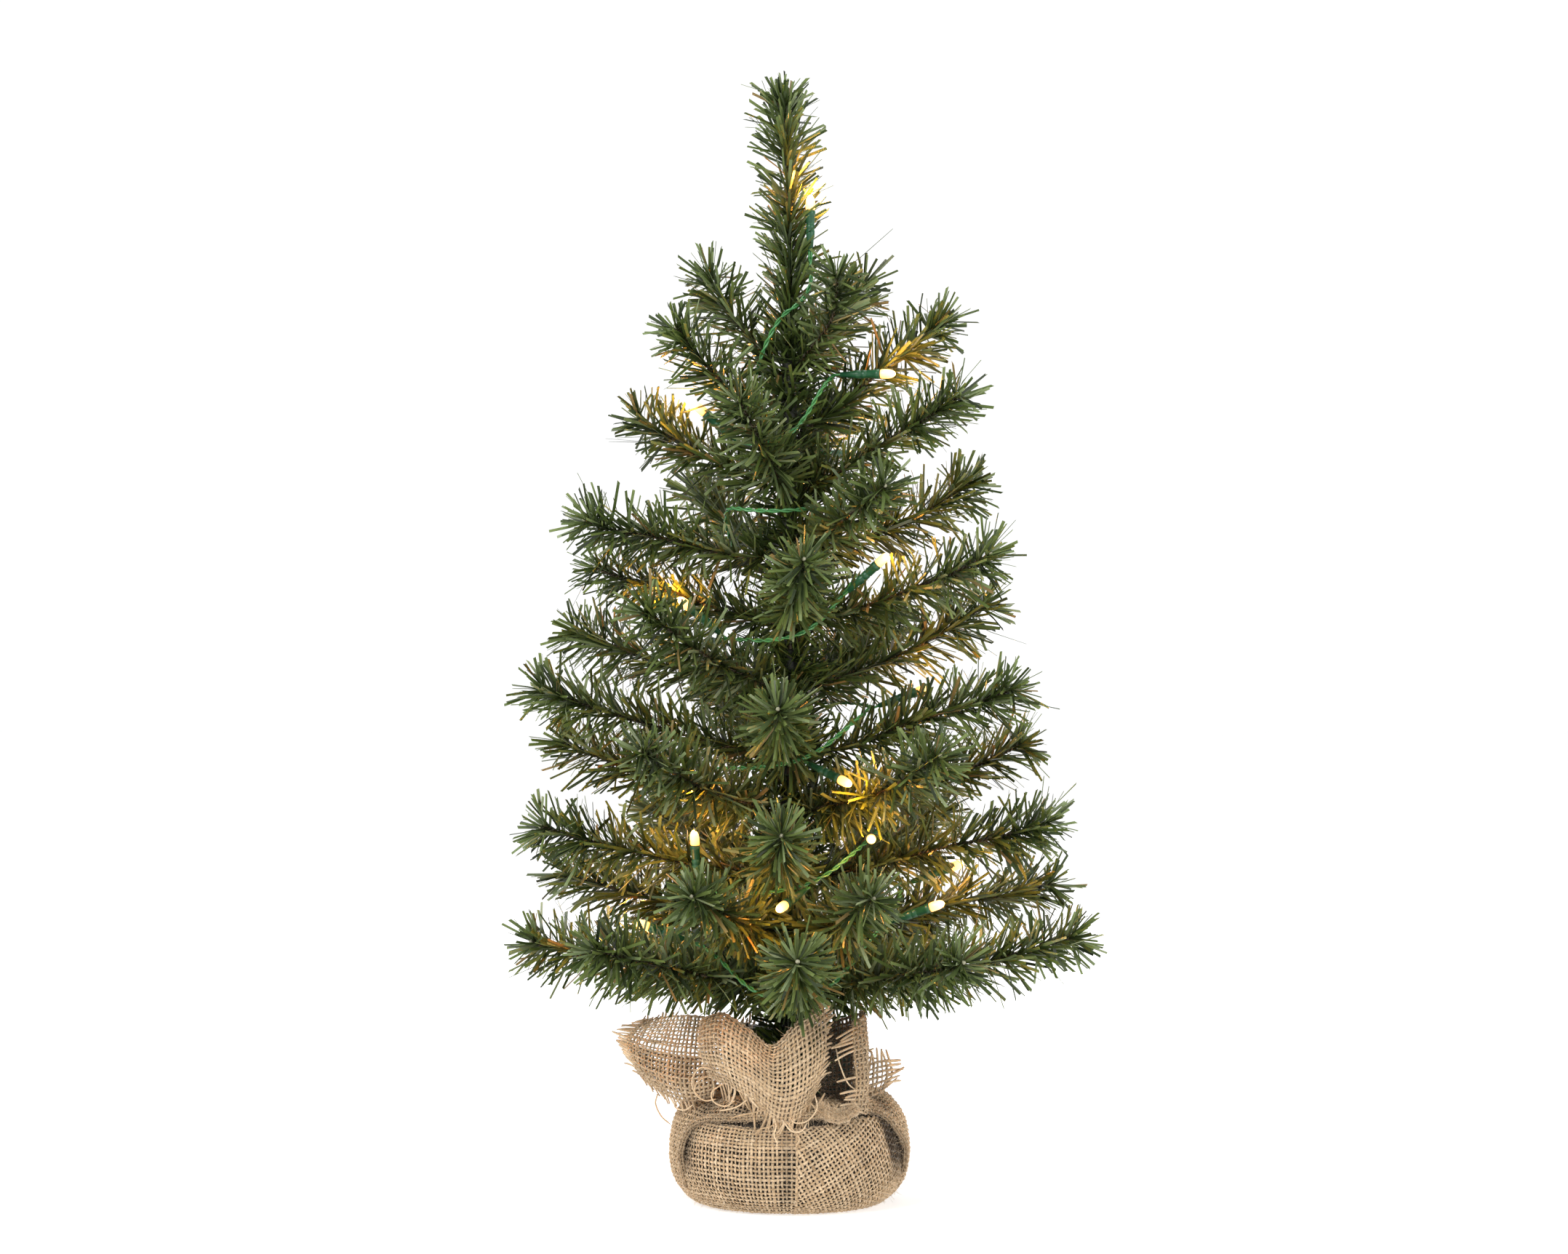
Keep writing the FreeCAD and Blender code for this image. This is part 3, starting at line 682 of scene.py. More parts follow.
# Outlines of a light's holder and lamp: distance from its start, and radius.
SOCKET_PROFILE = [(1.0, 0.9), (1.2, 1.25), (8.6, 1.9), (9.6, 2.25), (12.0, 2.3), (12.3, 2.05), (12.7, 2.05),
                  (13.0, 2.3), (15.0, 2.3), (15.3, 2.05), (15.7, 2.05), (16.0, 2.3), (20.2, 2.3),
                  (20.5, 2.62), (22.2, 2.62), (22.6, 2.3), (23.0, 1.9)]
BULB_PROFILE = [(22.9, 1.6), (23.1, 2.35), (23.9, 2.5), (25.4, 2.5), (27.2, 2.44), (28.6, 2.2),
                (29.7, 1.75), (30.5, 1.1), (30.9, 0.5)]


def make_lights(insulation, holder, lamp):
    """Every light has two wires out of the lead, a tapered holder with two grooves, and its lit lamp."""
    wires, sockets, bulbs = Builder(), Builder(), Builder()
    for place, way in light_places():
        side = level_side(way, 0.95)
        for offset in (-0.62, 0.62):
            at = np.linspace(-2.6, 2.4, 6)[:, None] * MM
            spread = offset * np.linspace(1.0, 0.95, 6)[:, None] * MM
            line = place + way * at + side * spread
            cross = np.repeat(side[None], 6, 0)
            wires.tube(line, STRAND_RADIUS * 0.95, cross, np.cross(np.repeat(way[None], 6, 0), cross), 8)
        lathe(sockets, place, way, SOCKET_PROFILE)
        lathe(bulbs, place, way, BULB_PROFILE)
        glow = bpy.data.lights.new("lamp_glow", "POINT")
        glow.energy = LAMP_WATTS
        glow.color = (1.0, 0.36, 0.04)
        glow.shadow_soft_size = 2.6 * MM
        source = bpy.data.objects.new("lamp_glow", glow)
        source.location = place + way * 34.5 * MM
        source.visible_camera = False
        bpy.context.collection.objects.link(source)
    ride_as(wires.build("lamp_wires", insulation), "root", "cable")
    ride_as(sockets.build("lamp_sockets", holder), "root", "sockets", "led_sockets")
    ride_as(bulbs.build("lamp_bulbs", lamp), "root", "bulbs", "led_bulbs")


# ---------------------------------------------------------------- burlap

YARN_PITCH = 2.3 * MM
YARN_HALF_WIDTH = 0.66 * MM
YARN_HALF_HEIGHT = 0.40 * MM
YARN_RISE = 0.46 * MM
YARN_SIDES = 4
THREAD_RADIUS = 0.42 * MM
FIBRE_RADIUS = 0.055 * MM
FLOOR_GAP = 0.05 * MM
OUTLINE_SAMPLES = 400
PANEL_RADIUS = 61.5
HOOD_RADIUS = 61.0
# Azimuth of the sack's front ridge, and of the hollow on its left, which is pressed in and darkened with
# painted shade.
RIDGE = -89.0
HOLLOW = -150.0
# Outline of the sack from its underside to the turned-in lip: radius and height in millimetres.
SACK_OUTLINE = [(29, 0.95), (38, 0.95), (46, 1.1), (51.5, 3.4), (56.2, 8.0), (59.7, 14.5), (61.4, 22),
                (61.8, 30), (61.1, 37), (59.9, 43), (58.7, 47.2), (57.6, 49.6), (56.6, 49.9),
                (55.9, 48.4), (55.6, 45.2)]
# The outer fold of the cloth, which goes up round the sides and over the weight's edge.
HOOD_OUTLINE = [(46, 1.3), (52, 3.5), (57, 8.6), (60.4, 14.8), (62.0, 22), (62.3, 30), (61.4, 38),
                (59.6, 45), (57.0, 50), (53.5, 54), (49.5, 56.8), (45.0, 58.4), (38.5, 59.0)]
# Height of the front panel's lip, and of the fold's hem over it, by azimuth.
LIP = [(-180, 50), (-140, 47.5), (-109, 45.8), (-90, 45.6), (-66, 48.0), (-48, 50.4), (-35, 49.5), (0, 50)]
HEM = [(-156, -9), (-153.5, 12), (-152.5, 27), (-151, 36), (-148, 42), (-144, 46), (-136, 49.2),
       (-124, 50.2), (-109, 51.5), (-90, 52.2), (-66, 52.2), (-57, 53.2), (-50, 54.2), (-41, 53.0),
       (-32, 49.5), (-24, 40.5), (-17, 31), (-14, 15), (-11, -9)]


def smooth_curve(points, samples):
    """A curve through the points, evenly spaced."""
    points = np.asarray(points, float)
    padded = np.concatenate([[2 * points[0] - points[1]], points, [2 * points[-1] - points[-2]]])
    t = np.linspace(0, 1, 9)[:-1, None]
    runs = []
    for a, b, c, d in zip(padded, padded[1:], padded[2:], padded[3:]):
        runs.append(0.5 * (2 * b + (c - a) * t + (2 * a - 5 * b + 4 * c - d) * t ** 2
                           + (3 * b - a - 3 * c + d) * t ** 3))
    fine = np.concatenate(runs + [points[-1:]])
    gone = np.concatenate([[0], np.cumsum(np.linalg.norm(np.diff(fine, axis=0), axis=1))])
    at = np.linspace(0, gone[-1], samples)
    return np.stack([np.interp(at, gone, fine[:, i]) for i in range(points.shape[1])], axis=1), gone[-1]


def net_patch(net, columns, rows):
    """Grid of points through a given net, whose rows go up the cloth."""
    net = np.asarray(net, float)
    across = np.stack([smooth_curve(row, columns)[0] for row in net])
    return np.stack([smooth_curve(across[:, i], rows)[0] for i in range(columns)], axis=1)


def grid_normals(grid):
    up = np.gradient(grid, axis=0)
    along = np.gradient(grid, axis=1)
    return unit(np.cross(along, up))


def add_yarns(builder, lines, normals, widths, tints, shades, keep=None):
    """Flat yarns along the rows of a block of lines, with closed ends; keep says which rings are wanted."""
    count, rings = lines.shape[:2]
    sides = YARN_SIDES
    tangents = unit(np.gradient(lines, axis=1))
    across = unit(np.cross(tangents, normals))
    turn = np.arange(sides) * 2 * math.pi / sides
    wide = (across * widths[..., None])[:, :, None] * np.cos(turn)[None, None, :, None]
    high = (normals * YARN_HALF_HEIGHT)[:, :, None] * np.sin(turn)[None, None, :, None]
    points = lines[:, :, None] + wide + high
    points[..., 2] = np.maximum(points[..., 2], FLOOR_GAP)
    quads = np.concatenate([ring_faces(rings, sides), [[3, 2, 1, 0]],
                            [[(rings - 1) * sides + i for i in range(sides)]]])
    faces = (quads[None] + (np.arange(count) * rings * sides)[:, None, None]).reshape(-1, 4)
    if keep is not None:
        gone = np.pad(~keep, ((0, 0), (1, 1)), constant_values=True)
        keep = keep & ~(gone[:, :-2] & gone[:, 2:])
        faces = faces[np.repeat(keep.reshape(-1), sides)[faces].all(axis=1)]
        gone = np.pad(~keep, ((0, 0), (1, 1)), constant_values=False)
        for ends, order in ((keep & gone[:, :-2], [3, 2, 1, 0]), (keep & gone[:, 2:], [0, 1, 2, 3])):
            faces = np.concatenate([faces, np.flatnonzero(ends)[:, None] * sides + np.array(order)])
    tones = np.ones((count, rings, sides, 4))
    tones[..., 0] = tints[..., None]
    tones[..., 1] = 0.5
    tones[..., 2] = shades[..., None]
    builder.add(points, faces, tones)


def weave(builder, rng, grid, shade=1.0, loose=0.0, keep=None):
    """Plain weave over a grid of crossings in metres; shade is a number or one for each crossing."""
    rows, columns = grid.shape[:2]
    normals = grid_normals(grid)
    shade = np.broadcast_to(np.asarray(shade, float), (rows, columns))
    over = ((np.add.outer(np.arange(rows), np.arange(columns)) % 2) * 2 - 1)[..., None] * YARN_RISE
    jitter = rng.normal(0, 0.08 * MM, grid.shape) + rng.normal(0, 0.08 * MM, (rows, 1, 3)) * (1 + loose)
    sideways = rng.normal(0, 0.08 * MM, (1, columns, 3)) * (1 + loose)
    for sign in (-1, 1):
        lines = grid + jitter + sideways + normals * (sign * over)
        blocks = [lines, normals, shade, sign * over[..., 0] > 0, keep]
        if sign > 0:
            blocks = [block if block is None else np.swapaxes(block, 0, 1) for block in blocks]
        lines, block_normals, block_shade, on_top, block_keep = blocks
        count, rings = lines.shape[:2]
        bulk = np.clip(rng.normal(1.0, 0.13, (count, 1)), 0.7, 1.45)
        slub = 1 + 0.16 * np.sin(np.arange(rings)[None] * rng.uniform(0.2, 0.7, (count, 1))
                                 + rng.uniform(0, 6, (count, 1)))
        tints = np.clip(rng.normal(0.62, 0.09, (count, 1)) + rng.normal(0, 0.09, (count, rings)), 0, 1)
        # Painted shade on each yarn where it passes under the other.
        under_yarn_shade = np.where(on_top, 1.0, 0.72)
        add_yarns(builder, lines, block_normals, YARN_HALF_WIDTH * bulk * slub, tints, block_shade * under_yarn_shade,
                  block_keep)
    return normals


# The outermost and the second line of crossings on each side of a grid.
SIDES = {"low": (np.s_[0], np.s_[1]), "high": (np.s_[-1], np.s_[-2]),
         "start": (np.s_[:, 0], np.s_[:, 1]), "end": (np.s_[:, -1], np.s_[:, -2])}


def fringe(builder, rng, grid, normals, side, length, part=slice(None), droop=0.0, skip=0.06, curl=1.6,
           wide=1.15):
    """Free yarn ends beyond one side of a grid, or a part of that side."""
    outer, second = SIDES[side]
    edge, inner, upright = grid[outer][part], grid[second][part], normals[outer][part]
    out = unit(edge - inner)
    for i in range(len(edge)):
        if rng.random() < skip:
            continue
        reach = length * rng.uniform(0.72, 1.15) * MM
        at = np.linspace(0, 1, 6)[:, None]
        bend = rng.normal(0, curl, 3) * MM
        line = (inner[i] + (edge[i] - inner[i]) * 0.2 + out[i] * (at * (reach + 2 * MM)) + bend * at ** 2
                - UP * droop * MM * at ** 2)
        thin = YARN_HALF_WIDTH * wide * rng.uniform(0.8, 1.05) * np.array([1.0, 1.0, 0.98, 0.95, 0.9, 0.6])
        tint = np.full((1, 6), rng.uniform(0.35, 0.85))
        add_yarns(builder, line[None], np.repeat(upright[i][None], 6, 0)[None], thin[None], tint,
                  np.ones((1, 6)))


def loose_thread(builder, rng, points):
    line = smooth_curve(np.asarray(points, float) * MM, len(points) * 6)[0]
    taper = np.minimum(1, np.linspace(6, 0.4, len(line))) * THREAD_RADIUS
    builder.tube(line, taper, *tube_frames(line)[1:], 5, tint=rng.uniform(0.4, 0.9), shade=1)


def fuzz(builder, rng, grid, normals, count, reach=3.2, keep=None):
    """Fine fibres that stand off the cloth."""
    rows, columns = grid.shape[:2]
    for _ in range(count):
        i, j = rng.integers(1, rows - 1), rng.integers(1, columns - 1)
        if keep is not None and not keep[i, j]:
            continue
        out = normals[i, j] * rng.uniform(0.1, 0.9) + rng.normal(0, 0.6, 3)
        bend = rng.normal(0, 1.6, 3) * MM
        at = np.linspace(0, 1, 4)[:, None]
        line = grid[i, j] + unit(out) * at * rng.uniform(0.4, 1.0) * reach * MM + bend * at ** 2
        line[:, 2] = np.maximum(line[:, 2], 0.3 * MM)
        builder.tube(line, FIBRE_RADIUS, *tube_frames(line)[1:], 3, tint=rng.uniform(0.6, 1.0), shade=1)


def bell(value, centre, width):
    return np.exp(-((value - centre) / width) ** 2)


def on_outline(outline, share):
    """Radius and height on an outline, at a share of its length from its foot."""
    profile = smooth_curve(outline, OUTLINE_SAMPLES)[0]
    at, steps = share * (OUTLINE_SAMPLES - 1), np.arange(OUTLINE_SAMPLES)
    return np.interp(at, steps, profile[:, 0]), np.interp(at, steps, profile[:, 1])


def panel_place(azimuth, b):
    """Crossings and painted shade of the sack's inner layer, from azimuth and share of its outline."""
    radius, height = on_outline(SACK_OUTLINE, np.clip(b, 0, 1))
    lip_part = np.clip((height - 36) / 14, 0, 1)
    height = height + lip_part * (np.interp(azimuth, *zip(*LIP)) - 50.0)
    wall = np.clip(height / 14, 0, 1)
    ridge = ridge_line(height)
    radius = radius + wall * 2.1 * bell(azimuth, ridge + 1.5, 3.2) * np.clip((54 - height) / 20, 0, 1)
    radius = radius + 0.25 * (1 + np.sin(np.radians(azimuth * 9 + height * 2))) * wall
    raised = np.clip((height - 14) / 14, 0, 1)
    wedge = raised / (1 + np.exp(-(azimuth + 33.0 + (height - 28) * 0.28) / 0.8))
    corner = raised * bell(azimuth, HOLLOW, 5.0)
    radius = radius - 1.2 * wedge - 0.8 * corner
    # Painted shade in the wedge at the right, in the hollow at the left, and in the gap under the turned-in
    # lip.
    shade = (1 - 0.93 * wedge) * (1 - 0.8 * corner) * (1 - 0.85 * np.clip((b - 0.950) / 0.03, 0, 1))
    # A painted shadow line left of the ridge, and a painted highlight on the ridge itself.
    shade = shade * (1 - 0.38 * wall * bell(azimuth, ridge - 4.0, 3.0))
    shade = shade * (1 + 0.14 * wall * bell(azimuth, ridge + 2, 2.5))
    return ring_grid(azimuth, radius, height), np.clip(shade, 0.05, 1.12)


def ridge_line(height):
    """Azimuth of the front ridge, which leans a little on its way up."""
    return RIDGE + 2.0 * np.sin(height / 17.0)


def panel_grid():
    """The inner layer left of the front ridge and round the back, straight with the sack."""
    length = smooth_curve(SACK_OUTLINE, OUTLINE_SAMPLES)[1]
    rows = int(length * MM / YARN_PITCH)
    columns = int(2 * math.pi * PANEL_RADIUS * MM / YARN_PITCH)
    b = np.linspace(0, 1, rows)[:, None]
    a = np.linspace(-270, 90, columns)[None, :]
    azimuth = a + 0.8 * np.sin(a / 7.0) * np.clip((b - 0.12) / 0.7, 0, 1)
    level = np.clip(b + 0.008 * np.sin(a / 13.0) * np.sin(math.pi * b), 0, 1)
    grid, shade = panel_place(azimuth, level)
    foot = grid[..., 2] < 2.5 * MM
    left = (azimuth > HEM[0][0] - 6) & (azimuth < ridge_line(grid[..., 2] / MM) + 2)
    return grid, shade, left | foot


def bias_grid():
    """The inner layer right of the ridge, where the cloth was pulled round on the bias."""
    length = smooth_curve(SACK_OUTLINE, OUTLINE_SAMPLES)[1]
    steps = np.arange(-34, 35) * YARN_PITCH / MM
    p, q = np.meshgrid(steps, steps)
    turn = math.radians(31)
    azimuth = -48 + np.degrees((p * math.cos(turn) - q * math.sin(turn)) / PANEL_RADIUS)
    b = 0.5 + (p * math.sin(turn) + q * math.cos(turn)) / length
    grid, shade = panel_place(azimuth, b)
    ridge = ridge_line(grid[..., 2] / MM)
    return grid, shade, (azimuth > ridge) & (azimuth < HEM[-1][0] + 6) & (b > 0.1) & (b < 0.985)


def ring_grid(azimuth, radius, height):
    """Points from polar places in millimetres, on a sack that is slightly squarer than round."""
    turn = np.radians(azimuth)
    squash = 1 + 0.005 * (1 - np.cos(4 * turn))
    return np.stack([radius * squash * np.cos(turn), radius * squash * np.sin(turn),
                     height + 0 * turn], axis=-1) * MM


def hood_place(azimuth, at, proud=0.0):
    """Radius and height on the outer fold, at shares of its outline from its foot to the mouth."""
    radius, height = on_outline(HOOD_OUTLINE, at)
    lift = np.clip((height - 8) / 22, 0, 1) * np.clip((60 - height) / 12, 0, 1)
    return radius + lift * (0.3 + proud), height


def hood_grid():
    """The outer fold: round the sides and over the top, and tucked behind the panel at the front."""
    length = smooth_curve(HOOD_OUTLINE, OUTLINE_SAMPLES)[1]
    rows = int(length * MM / YARN_PITCH * 1.04)
    columns = int(2 * math.pi * HOOD_RADIUS * MM / YARN_PITCH)
    b = np.linspace(0, 1, rows)[:, None]
    azimuth = np.linspace(-270, 90, columns)[None, :] + 2.5 * np.sin(b * 5)
    rear = np.clip(np.sin(np.radians(azimuth)) * 2.2, 0, 1)
    at = b * (1 - 0.13 * rear)
    radius, height = hood_place(azimuth, at)
    hem = np.interp(azimuth, *zip(*HEM))
    outside = 1 / (1 + np.exp(-(height - hem) / 0.7))
    inner_radius = radius - 1.9 - 2.0 * np.clip((52 - height) / 10, 0, 1)
    radius = inner_radius + (radius - inner_radius) * outside
    top = np.clip((height - 46) / 8, 0, 1)
    waves = np.sin(np.radians(azimuth * 6.5 + 14 * np.sin(np.radians(azimuth * 2))))
    folds = np.abs(waves) ** 1.4
    height = height + 2.4 * (folds - 0.2) * top * np.clip((1 - b) * 6, 0, 1) * (1 - 0.7 * rear)
    radius = radius + 0.7 * np.sin(np.radians(azimuth * 4 + 50)) * (1 - top) * np.clip(height / 14, 0, 1)
    # Painted shade: dark where the fold tucks behind the panel, and darker in the valleys between the
    # gathers on top.
    shade = (0.12 + 0.88 * outside) * (1 - top * (1 - folds) * 0.6)
    return ring_grid(azimuth, radius, height), np.clip(shade, 0.08, 1), (outside > 0.04) | (height > 51)


def hem_grid():
    """The rolled edge of the outer fold, from low on the left over the front to low on the right."""
    places = []
    profile = smooth_curve(HOOD_OUTLINE, OUTLINE_SAMPLES)[0]
    for azimuth, height in HEM[1:-1]:
        share = np.interp(height, profile[:, 1], np.linspace(0, 1, len(profile)))
        radius, height = hood_place(azimuth, share, 0.9)
        places.append(ring_grid(np.array(float(azimuth)), radius, height))
    line, length = smooth_curve(np.array(places), OUTLINE_SAMPLES)
    line = smooth_curve(line[::8], int(length / (1.7 * MM)))[0]
    tangents = unit(np.gradient(line, axis=0))
    outward = unit(line * np.array([1.0, 1.0, 0.0]) + UP * np.clip((line[:, 2:] - 0.046) * 90, 0, 1) * 0.03)
    outward = unit(outward - tangents * np.sum(outward * tangents, axis=1)[:, None])
    inward = np.cross(tangents, outward)
    rows = []
    for turn in np.radians(np.arange(-60, 221, 56)):
        rows.append(line + (outward * math.sin(turn) * 1.2 + inward * math.cos(turn) * 1.6) * MM)
    return np.stack(rows)


# Nets of the standing corners, in millimetres: each row goes round the sack, and the rows go up.
FRONT_CORNER = [
    [(-40, -46, 71), (-30, -52, 67), (-19, -56, 61), (-6, -58, 50), (3, -58, 51), (11, -53, 60)],
    [(-45, -47, 81), (-32, -56, 79), (-17, -59, 72), (-4, -59, 65), (6, -60, 67), (17, -54, 76)],
    [(-47, -44, 92), (-34, -54, 93), (-19, -56, 84), (-7, -54, 78), (6, -57, 84), (19, -50, 92)],
    [(-45, -38, 100), (-35, -46, 103), (-22, -49, 96), (-9, -47, 87), (4, -50, 99), (17, -45, 108)],
    [(-42, -33, 99), (-33, -39, 101), (-21, -42, 94), (-9, -42, 85), (5, -42, 97), (14, -39, 106)],
    [(-39, -33, 88), (-31, -37, 87), (-19, -39, 83), (-9, -40, 76), (5, -40, 86), (12, -37, 93)]]
LEFT_CORNER = [
    [(-40, -34, 60), (-50, -33, 57.5), (-60, -30, 58.5), (-70, -24, 63), (-79, -14, 69)],
    [(-40, -38, 68), (-53, -36, 66), (-65, -31, 68), (-76, -23, 72), (-84, -12, 78)],
    [(-40, -31, 77), (-54, -28, 78), (-66, -22, 80), (-77, -15, 82), (-85.5, -6, 86)],
    [(-40, -22, 88), (-53, -19, 89), (-65, -12, 90), (-75, -5, 90), (-82, 3, 91)],
    [(-40, -13, 98), (-52, -9, 99), (-63, -3, 98), (-72, 3, 96), (-78, 9, 95)]]
RIGHT_CORNER = [
    [(17, -47, 55), (21, -43, 52), (29, -40, 51), (37, -43, 52), (39.5, -50, 53), (33, -55, 54)],
    [(16, -45, 68), (21, -38, 67), (31, -36, 67), (39, -41, 67), (40, -49, 68), (34.5, -54, 69)],
    [(17, -43, 82), (22, -36, 83), (31, -33, 84), (38.5, -39, 85), (40, -47, 86), (33.5, -52, 86)],
    [(18, -40, 94), (23, -35, 98), (31, -33, 101), (37, -37, 103), (39, -43, 102), (33, -48, 99)]]
RIGHT_HEM = [
    [(14, -51, 55), (17, -56, 51.5), (23, -59, 49.5), (30, -58, 50.5), (36, -53, 54)],
    [(15, -54, 58), (18, -59, 55), (23.5, -61, 53), (29, -60, 54), (35, -56, 57)],
    [(16, -52, 60), (19, -56, 57.5), (24, -58, 56), (29, -57, 57), (33, -54, 60)]]
SIDE_CORNER = [
    [(41, -25, 58), (46, -22, 60), (51, -19, 63)],
    [(41, -25, 66), (47.5, -22, 68), (54, -19, 70)],
    [(42, -25, 75), (47.5, -22, 76.5), (52.5, -19, 76.5)]]
REAR_CORNER = [
    [(-34, 44, 56), (-18, 51, 56), (0, 54, 56), (18, 51, 56), (34, 43, 56)],
    [(-37, 46, 65), (-19, 55, 66), (0, 57, 67), (19, 55, 66), (38, 45, 65)],
    [(-39, 46, 74), (-19, 56, 76), (0, 59, 77), (20, 56, 75), (39, 46, 75)],
    [(-36, 46, 82), (-18, 57, 86), (1, 60, 83), (20, 58, 87), (37, 46, 83)]]


def corner_grid(net):
    """A net's crossings at the weave's pitch, measured along its middle."""
    net = np.asarray(net, float) * MM
    wide = np.mean([smooth_curve(row, 9)[1] for row in net])
    tall = np.mean([smooth_curve(net[:, i], 9)[1] for i in range(net.shape[1])])
    return net_patch(net, int(wide / YARN_PITCH) + 1, int(tall / YARN_PITCH) + 1)


def make_sack(jute):
    rng = np.random.default_rng(31)
    body, corners, tassels, fibres = (Builder() for _ in range(4))
    for grid, shade, keep in (panel_grid(), bias_grid()):
        weave(body, rng, grid, shade, keep=keep)
        fuzz(fibres, rng, grid, grid_normals(grid), 2400, 1.7, keep)
    spread = np.arange(-31.9, 32, 2.2)
    under = np.stack(np.meshgrid(spread, spread), axis=-1) * MM
    under = np.concatenate([under, np.full((*under.shape[:2], 1), 0.95 * MM)], axis=-1)
    # Painted shade: the cloth under the sack is darkened to 0.6.
    weave(body, rng, under, 0.6)
    grid, shade, keep = hood_grid()
    weave(body, rng, grid, shade, keep=keep)
    fuzz(fibres, rng, grid, grid_normals(grid), 1500, 2.0)
    hem = hem_grid()
    # Painted shade on the rolled hem, darkest on its first row and fading out across it.
    normals = weave(body, rng, hem, np.linspace(0.45, 1.0, hem.shape[0])[:, None])
    fuzz(fibres, rng, hem, normals, 900, 2.6)
    cloth = body.build("sack_cloth", jute)
    ride_as(cloth, "root", "burlap", "burlap_sack")

    def corner(net, loose=1.0, shade=lambda up, along: 1.0):
        """One standing corner: its crossings, their normals, and a call that frays a side of it."""
        grid = corner_grid(net)
        up, along = (np.linspace(0, 1, count) for count in grid.shape[:2])
        # shade gives painted shade over the corner, by height and by place along it.
        normals = weave(corners, rng, grid, shade(up[:, None], along[None, :]), loose)
        return grid, normals, partial(fringe, tassels, rng, grid, normals)

    grid, normals, fray = corner(FRONT_CORNER, 0.5)
    fuzz(fibres, rng, grid, normals, 500)
    low, top = len(grid) // 4, len(grid) * 5 // 8
    fray("end", 3.5, curl=0.9)
    fray("end", 6.5, slice(low), curl=1.0, skip=0.0)
    for _ in range(2):
        fray("end", 5.0, slice(top - 4, top + 3))
    fray("low", 7.5, droop=2.0, curl=2.6)
    fray("low", 9.5, slice(10, None), droop=1.0, curl=3.2, skip=0.3)
    fray("start", 2.0, curl=0.8)

    # Painted shade: the left corner is a little darker towards its foot, and its second layer is darkened
    # to 0.95.
    grid, normals, fray = corner(LEFT_CORNER, shade=lambda up, along: 0.95 + 0.05 * up)
    weave(corners, rng, (grid + np.array([0.001, 0.0025, 0.0011]))[:len(grid) // 2], 0.95, 1.0)
    fuzz(fibres, rng, grid, normals, 320)
    fray("end", 10.0, curl=0.8, droop=0.5, skip=0.02, wide=1.4)
    fray("low", 6.5, slice(5, None), curl=0.7, skip=0.02)
    fray("high", 3.0, slice(8, None), curl=0.8)

    # Painted shade: the right corner is dark inside its fold, and the layer behind it is darkened to 0.6.
    grid, normals, fray = corner(RIGHT_CORNER, 0.4,
                                 lambda up, along: np.clip(0.14 + 3.4 * (along - 0.50), 0.14, 1))
    weave(corners, rng, (grid + np.array([0.0, 0.0016, 0.0011]))[:, int(grid.shape[1] * 0.6):], 0.6, 0.4)
    fuzz(fibres, rng, grid, normals, 300, 4.0)
    fuzz(fibres, rng, grid[:, -6:], normals[:, -6:], 900, 3.0)
    fray("end", 11.0, droop=1.0, curl=1.2, skip=0.25)

    grid, normals, fray = corner(RIGHT_HEM)
    fuzz(fibres, rng, grid, normals, 900, 3.6)
    fray("high", 2.5, curl=2.0)

    # Painted shade: the side corner is darkened to 0.8 as a whole.
    grid, normals, fray = corner(SIDE_CORNER, 0.8, lambda up, along: 0.8)
    for side in ("high", "end"):
        fray(side, 7.0, curl=1.4, skip=0.0)
    fuzz(fibres, rng, grid, normals, 160, 3.0)

    grid, normals, fray = corner(REAR_CORNER, 0.8)
    for side in ("high", "end", "start"):
        fray(side, 7.5, curl=1.0)
    fuzz(fibres, rng, grid, normals, 260)
    standing = corners.build("sack_corners", jute)
    ride_as(standing, "root", "burlap", "sack_ruffle")

    for points in LOOSE_THREADS:
        loose_thread(tassels, rng, points)
    fringes = tassels.build("sack_fringe", jute)
    ride_as(fringes, "root", "burlap")
    hairs = fibres.build("sack_fibres", jute)
    ride_as(hairs, "root", "burlap")


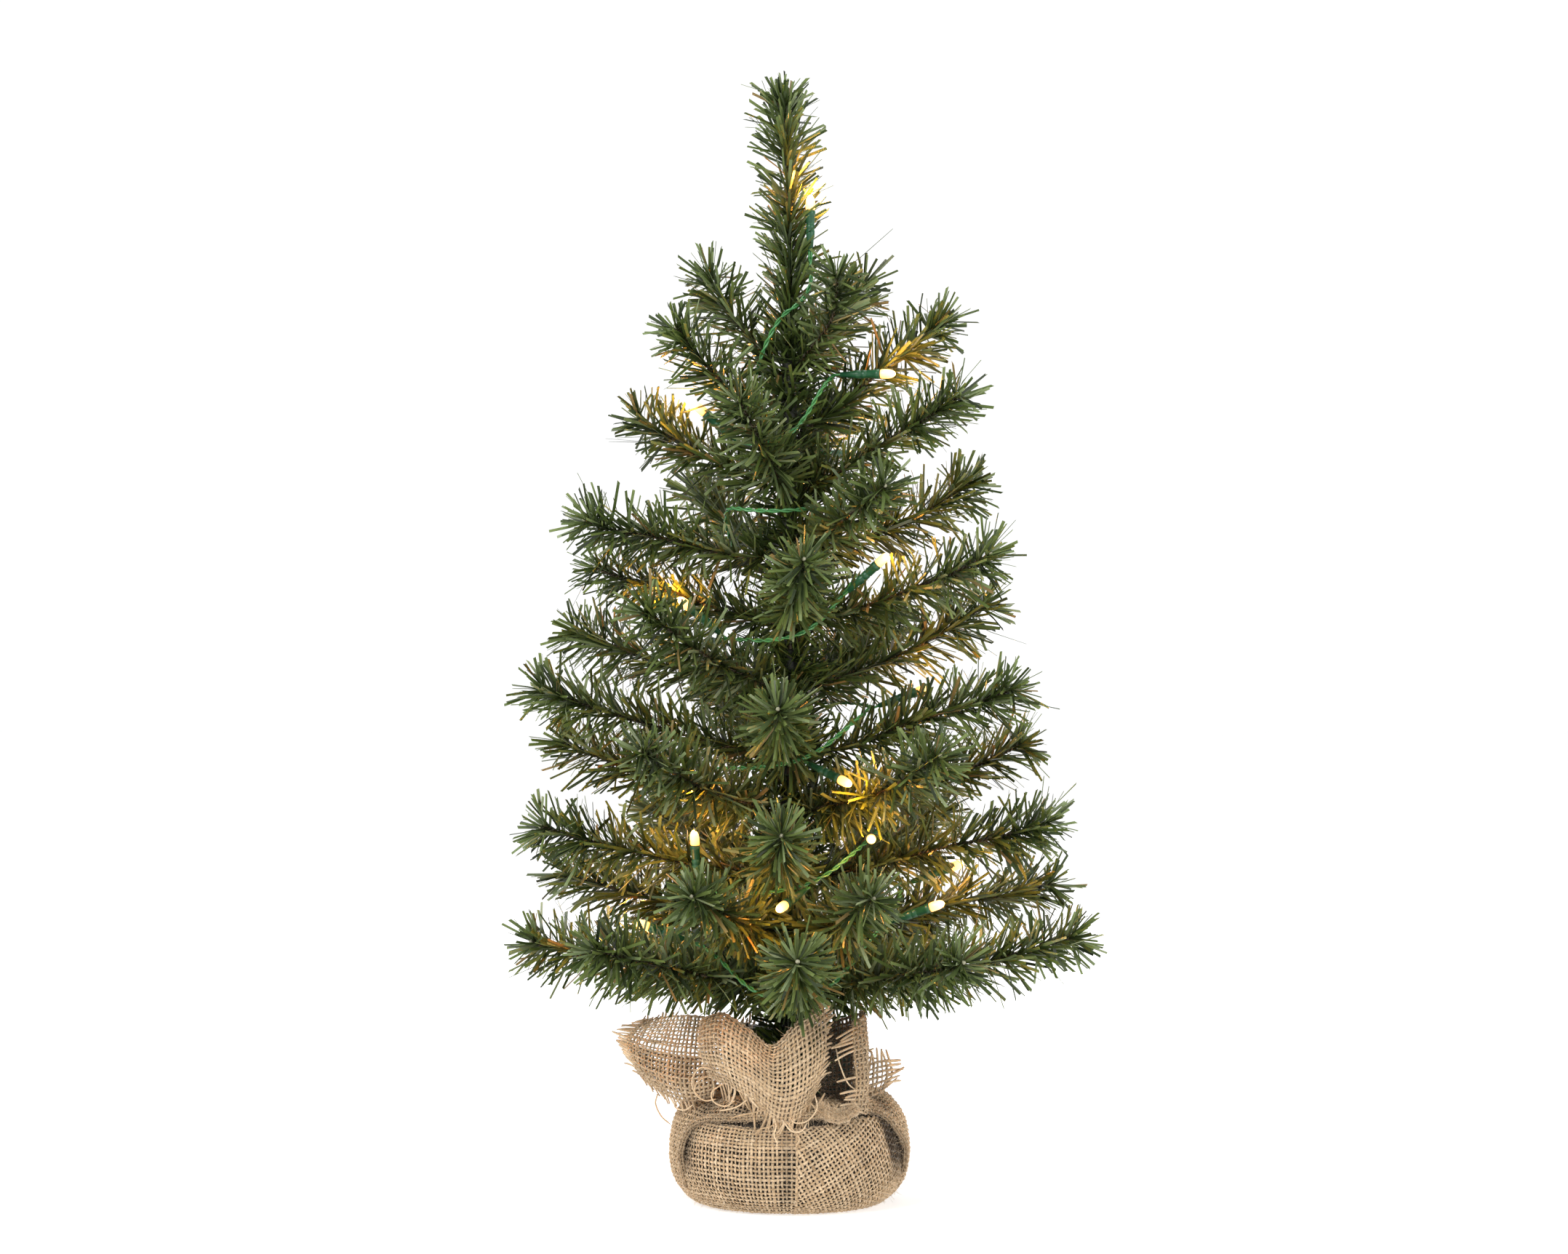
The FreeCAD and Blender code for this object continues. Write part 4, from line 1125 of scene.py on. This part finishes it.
# Single yarns that hang out of the corners, in millimetres.
LOOSE_THREADS = [
    [(-69, -26, 60), (-70, -27, 55), (-67, -30, 49), (-62, -33, 45)],
    [(-22, -58, 61), (-27, -62, 58), (-33, -63, 56.5), (-36, -62, 56)],
    [(-12, -58, 56), (-19, -63, 55), (-27, -64, 53.5), (-30, -64, 52)],
    [(-8, -59, 52), (-7, -64, 48), (-8, -65, 44), (-6, -64.5, 39)],
    [(-4, -59, 51), (-2, -64, 49), (1, -66, 46), (6, -66, 46), (9, -64, 50)],
    [(-6, -58, 50), (-10, -64, 48), (-15, -65.5, 47), (-18, -65, 44)],
    [(0, -59, 52), (3, -64, 50), (9, -64, 51), (14, -62, 57), (13, -60, 64)],
    [(-2, -59, 50), (2, -63, 46), (5, -65, 42), (3, -65, 38)],
    [(-40, -49, 73), (-47, -52, 70), (-49, -51, 64), (-44, -52, 60), (-38, -55, 61)],
    [(-40, -50, 76), (-46, -54, 77), (-50, -53, 72), (-50, -51, 66), (-47, -51, 62)],
    [(-34, -54, 69), (-40, -57, 65), (-39, -58, 60), (-33, -60, 58), (-28, -60, 61)],
    [(24, -44, 86), (26, -49, 78), (30, -52, 69), (35, -54, 65)],
    [(22, -46, 58), (26, -52, 55), (32, -56, 55), (38, -56, 54.5)],
    [(10, -55, 60), (14, -58, 56), (18, -57, 54), (20, -54, 56)],
    [(34, -54, 57), (30, -58, 55), (25, -58, 54), (22, -56, 56)],
    [(-56, -30, 60), (-60, -34, 55), (-55, -37, 53), (-50, -38, 56)]]


def dress_nodes(wire):
    """Materials for the CAD parts that stay as they are."""
    case = case_material("case_plastic", (0.010, 0.022, 0.014), (0.014, 0.030, 0.019))
    finishes = {
        # The concrete is given a dark brown: painted shade for the holes of the weave, where it shows
        # through.
        "concrete_base": mottled("concrete", (0.034, 0.027, 0.019), (0.060, 0.049, 0.036), 0.9, 60, 0.5,
                                 0.001),
        "trunk_pole": mottled("trunk_wrap", (0.010, 0.013, 0.008), (0.028, 0.030, 0.017), 0.6, 150, 0.6,
                              0.0006),
        "branch_legs": wire,
        "binding_wire": mottled("binding", (0.030, 0.050, 0.026), (0.055, 0.080, 0.040), 0.45, 300),
        "battery_case": case,
        "battery_cover": case_material("cover_plastic", (0.011, 0.024, 0.015), (0.016, 0.033, 0.021)),
        "switch_knob": mottled("knob_plastic", (0.012, 0.012, 0.012), (0.022, 0.022, 0.022), 0.5, 400),
        "battery_cells": cell_material(),
        "battery_contacts": mottled("contact_plate", (0.52, 0.50, 0.46), (0.66, 0.64, 0.60), 0.28, 500, 0.1,
                                    0.0001, Metallic=1.0),
    }
    for name, material in finishes.items():
        part = frame["nodes"][name]
        if not part.material_slots:
            part.data.materials.append(material)
        for slot in part.material_slots:
            slot.material = material


make_camera()
make_studio()
needles, wire, bead = needle_material(), wire_material(), wire_end_material()
insulation = insulation_material()
dress_nodes(wire)
for number in range(1, 45):
    make_branch(number, needles, wire, bead)
make_leader(needles, wire, bead)
make_trunk_needles(needles)
make_cable(insulation)
make_lights(insulation, socket_material(), bulb_material())
make_sack(jute_material("jute", 1.14))
